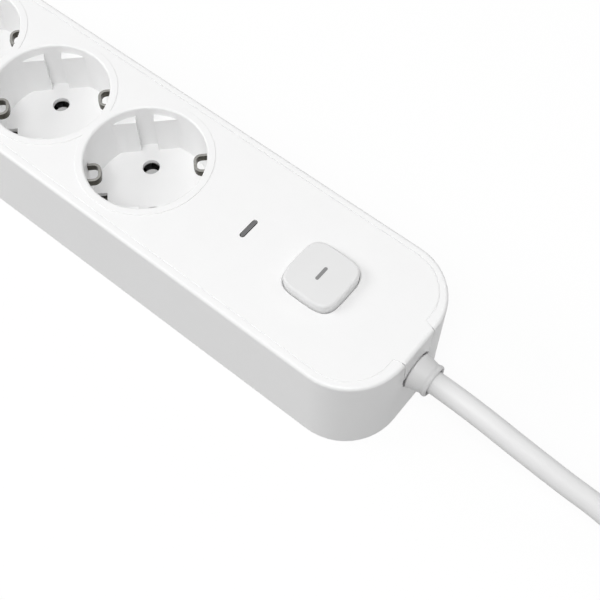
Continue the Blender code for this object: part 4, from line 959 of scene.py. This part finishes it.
into_hank = (hank[1] - hank[0]).normalized() * CORD_DIAMETER
out_of_hank = (hank[-1] - hank[-2]).normalized() * CORD_DIAMETER
plug_back = from_cable_end([PLUG_BACK_MM])[0]
cord_knots = [Vector((CABLE_END + CORD_FROM, 0, GLAND_Z))] + from_cable_end(CORD_ROUTE_MM)
cord_knots += [hank[0] - into_hank, hank[0] - into_hank / 2] + hank
cord_knots += [hank[-1] + out_of_hank / 2, hank[-1] + out_of_hank] + from_cable_end(TAIL_ROUTE_MM)
cord_knots += [plug_back - Vector((CORD_DIAMETER / 2, 0, 0)), plug_back]
cord_points = smooth_route(cord_knots, CORD_STEP)
cord_length = sum((b - a).length for a, b in zip(cord_points, cord_points[1:]))
print(f"cord {cord_length:.3f} m on {len(cord_points)} points")

# %% Cord
cord_curve = bpy.data.curves.new("mains_cord", "CURVE")
cord_curve.dimensions = "3D"
cord_curve.bevel_depth = CORD_DIAMETER / 2
cord_curve.bevel_resolution = CORD_ROUNDNESS
cord_curve.use_fill_caps = True
spline = cord_curve.splines.new("POLY")
spline.points.add(len(cord_points) - 1)
for point, place in zip(spline.points, cord_points):
    point.co = (*place, 1)
spline.use_smooth = True
cord_curve.materials.append(WHITE_PVC)
cord = bpy.data.objects.new("mains_cord", cord_curve)
bpy.context.scene.collection.objects.link(cord)
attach(cord, "strip")
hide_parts("cord_lead", "cord_coil", "cord_tail")
print("cord drawn,", round(CORD_DIAMETER / MM, 1), "mm thick")

# %% [markdown]
# ## Tie and plug
# The tape goes once round one side of the hank. The plug is a straight moulded one with two round pins and
# earth strips in its sides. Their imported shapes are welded, so that their normals run smoothly.

# %% Tie and plug
tie = place_piece("hank_tie", welded_copy("cord_tie"), HOOK_TAPE, "strip", "white_hook_tape", "cord_tie")
plug_pieces = [
    place_piece("plug_shell", welded_copy("plug_body"), WHITE_PVC, "strip", "white_pvc", "plug_body"),
    place_piece(
        "plug_sleeve", welded_copy("plug_strain_relief"), WHITE_PVC, "strip", "white_pvc",
        "plug_strain_relief",
    ),
]
for number in (1, 2):
    for name, node in ((f"plug_prong_{number}", f"plug_pin_{number}"),
                       (f"plug_side_strip_{number}", f"plug_earth_strip_{number}")):
        plug_pieces.append(
            place_piece(name, welded_copy(node), NICKEL_PIN, "strip", "nickel_plated_brass", node),
        )

# %% [markdown]
# ## What stays as it was packed
# Screws, rails, the switch and the leads are inside the case or under it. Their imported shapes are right,
# so they only take their materials.

# %% Materials of the carried-over nodes
FINISHES = {
    WHITE_ABS: ("cord_clamp", "switch_plunger"),
    BLACK_NYLON: ("switch_housing",),
    TINNED_BRASS: ("live_rail", "neutral_rail"),
    BRASS_STRIP: ("earth_rail", "switch_terminal_in", "switch_terminal_out"),
    ZINC_STEEL: tuple(f"cover_screw_{n}" for n in range(1, 7)) + ("clamp_screw_1", "clamp_screw_2"),
    WHITE_PVC: ("cord_inner",),
    BROWN_PVC: ("live_lead", "switched_lead"),
    BLUE_PVC: ("neutral_lead",),
    EARTH_PVC: ("earth_lead",),
    LAMP_GLASS: ("indicator_lamp",),
}
for material, nodes in FINISHES.items():
    for node in nodes:
        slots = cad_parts[node].material_slots
        for slot in slots:
            slot.material = material
print(sum(len(nodes) for nodes in FINISHES.values()), "nodes take their materials")
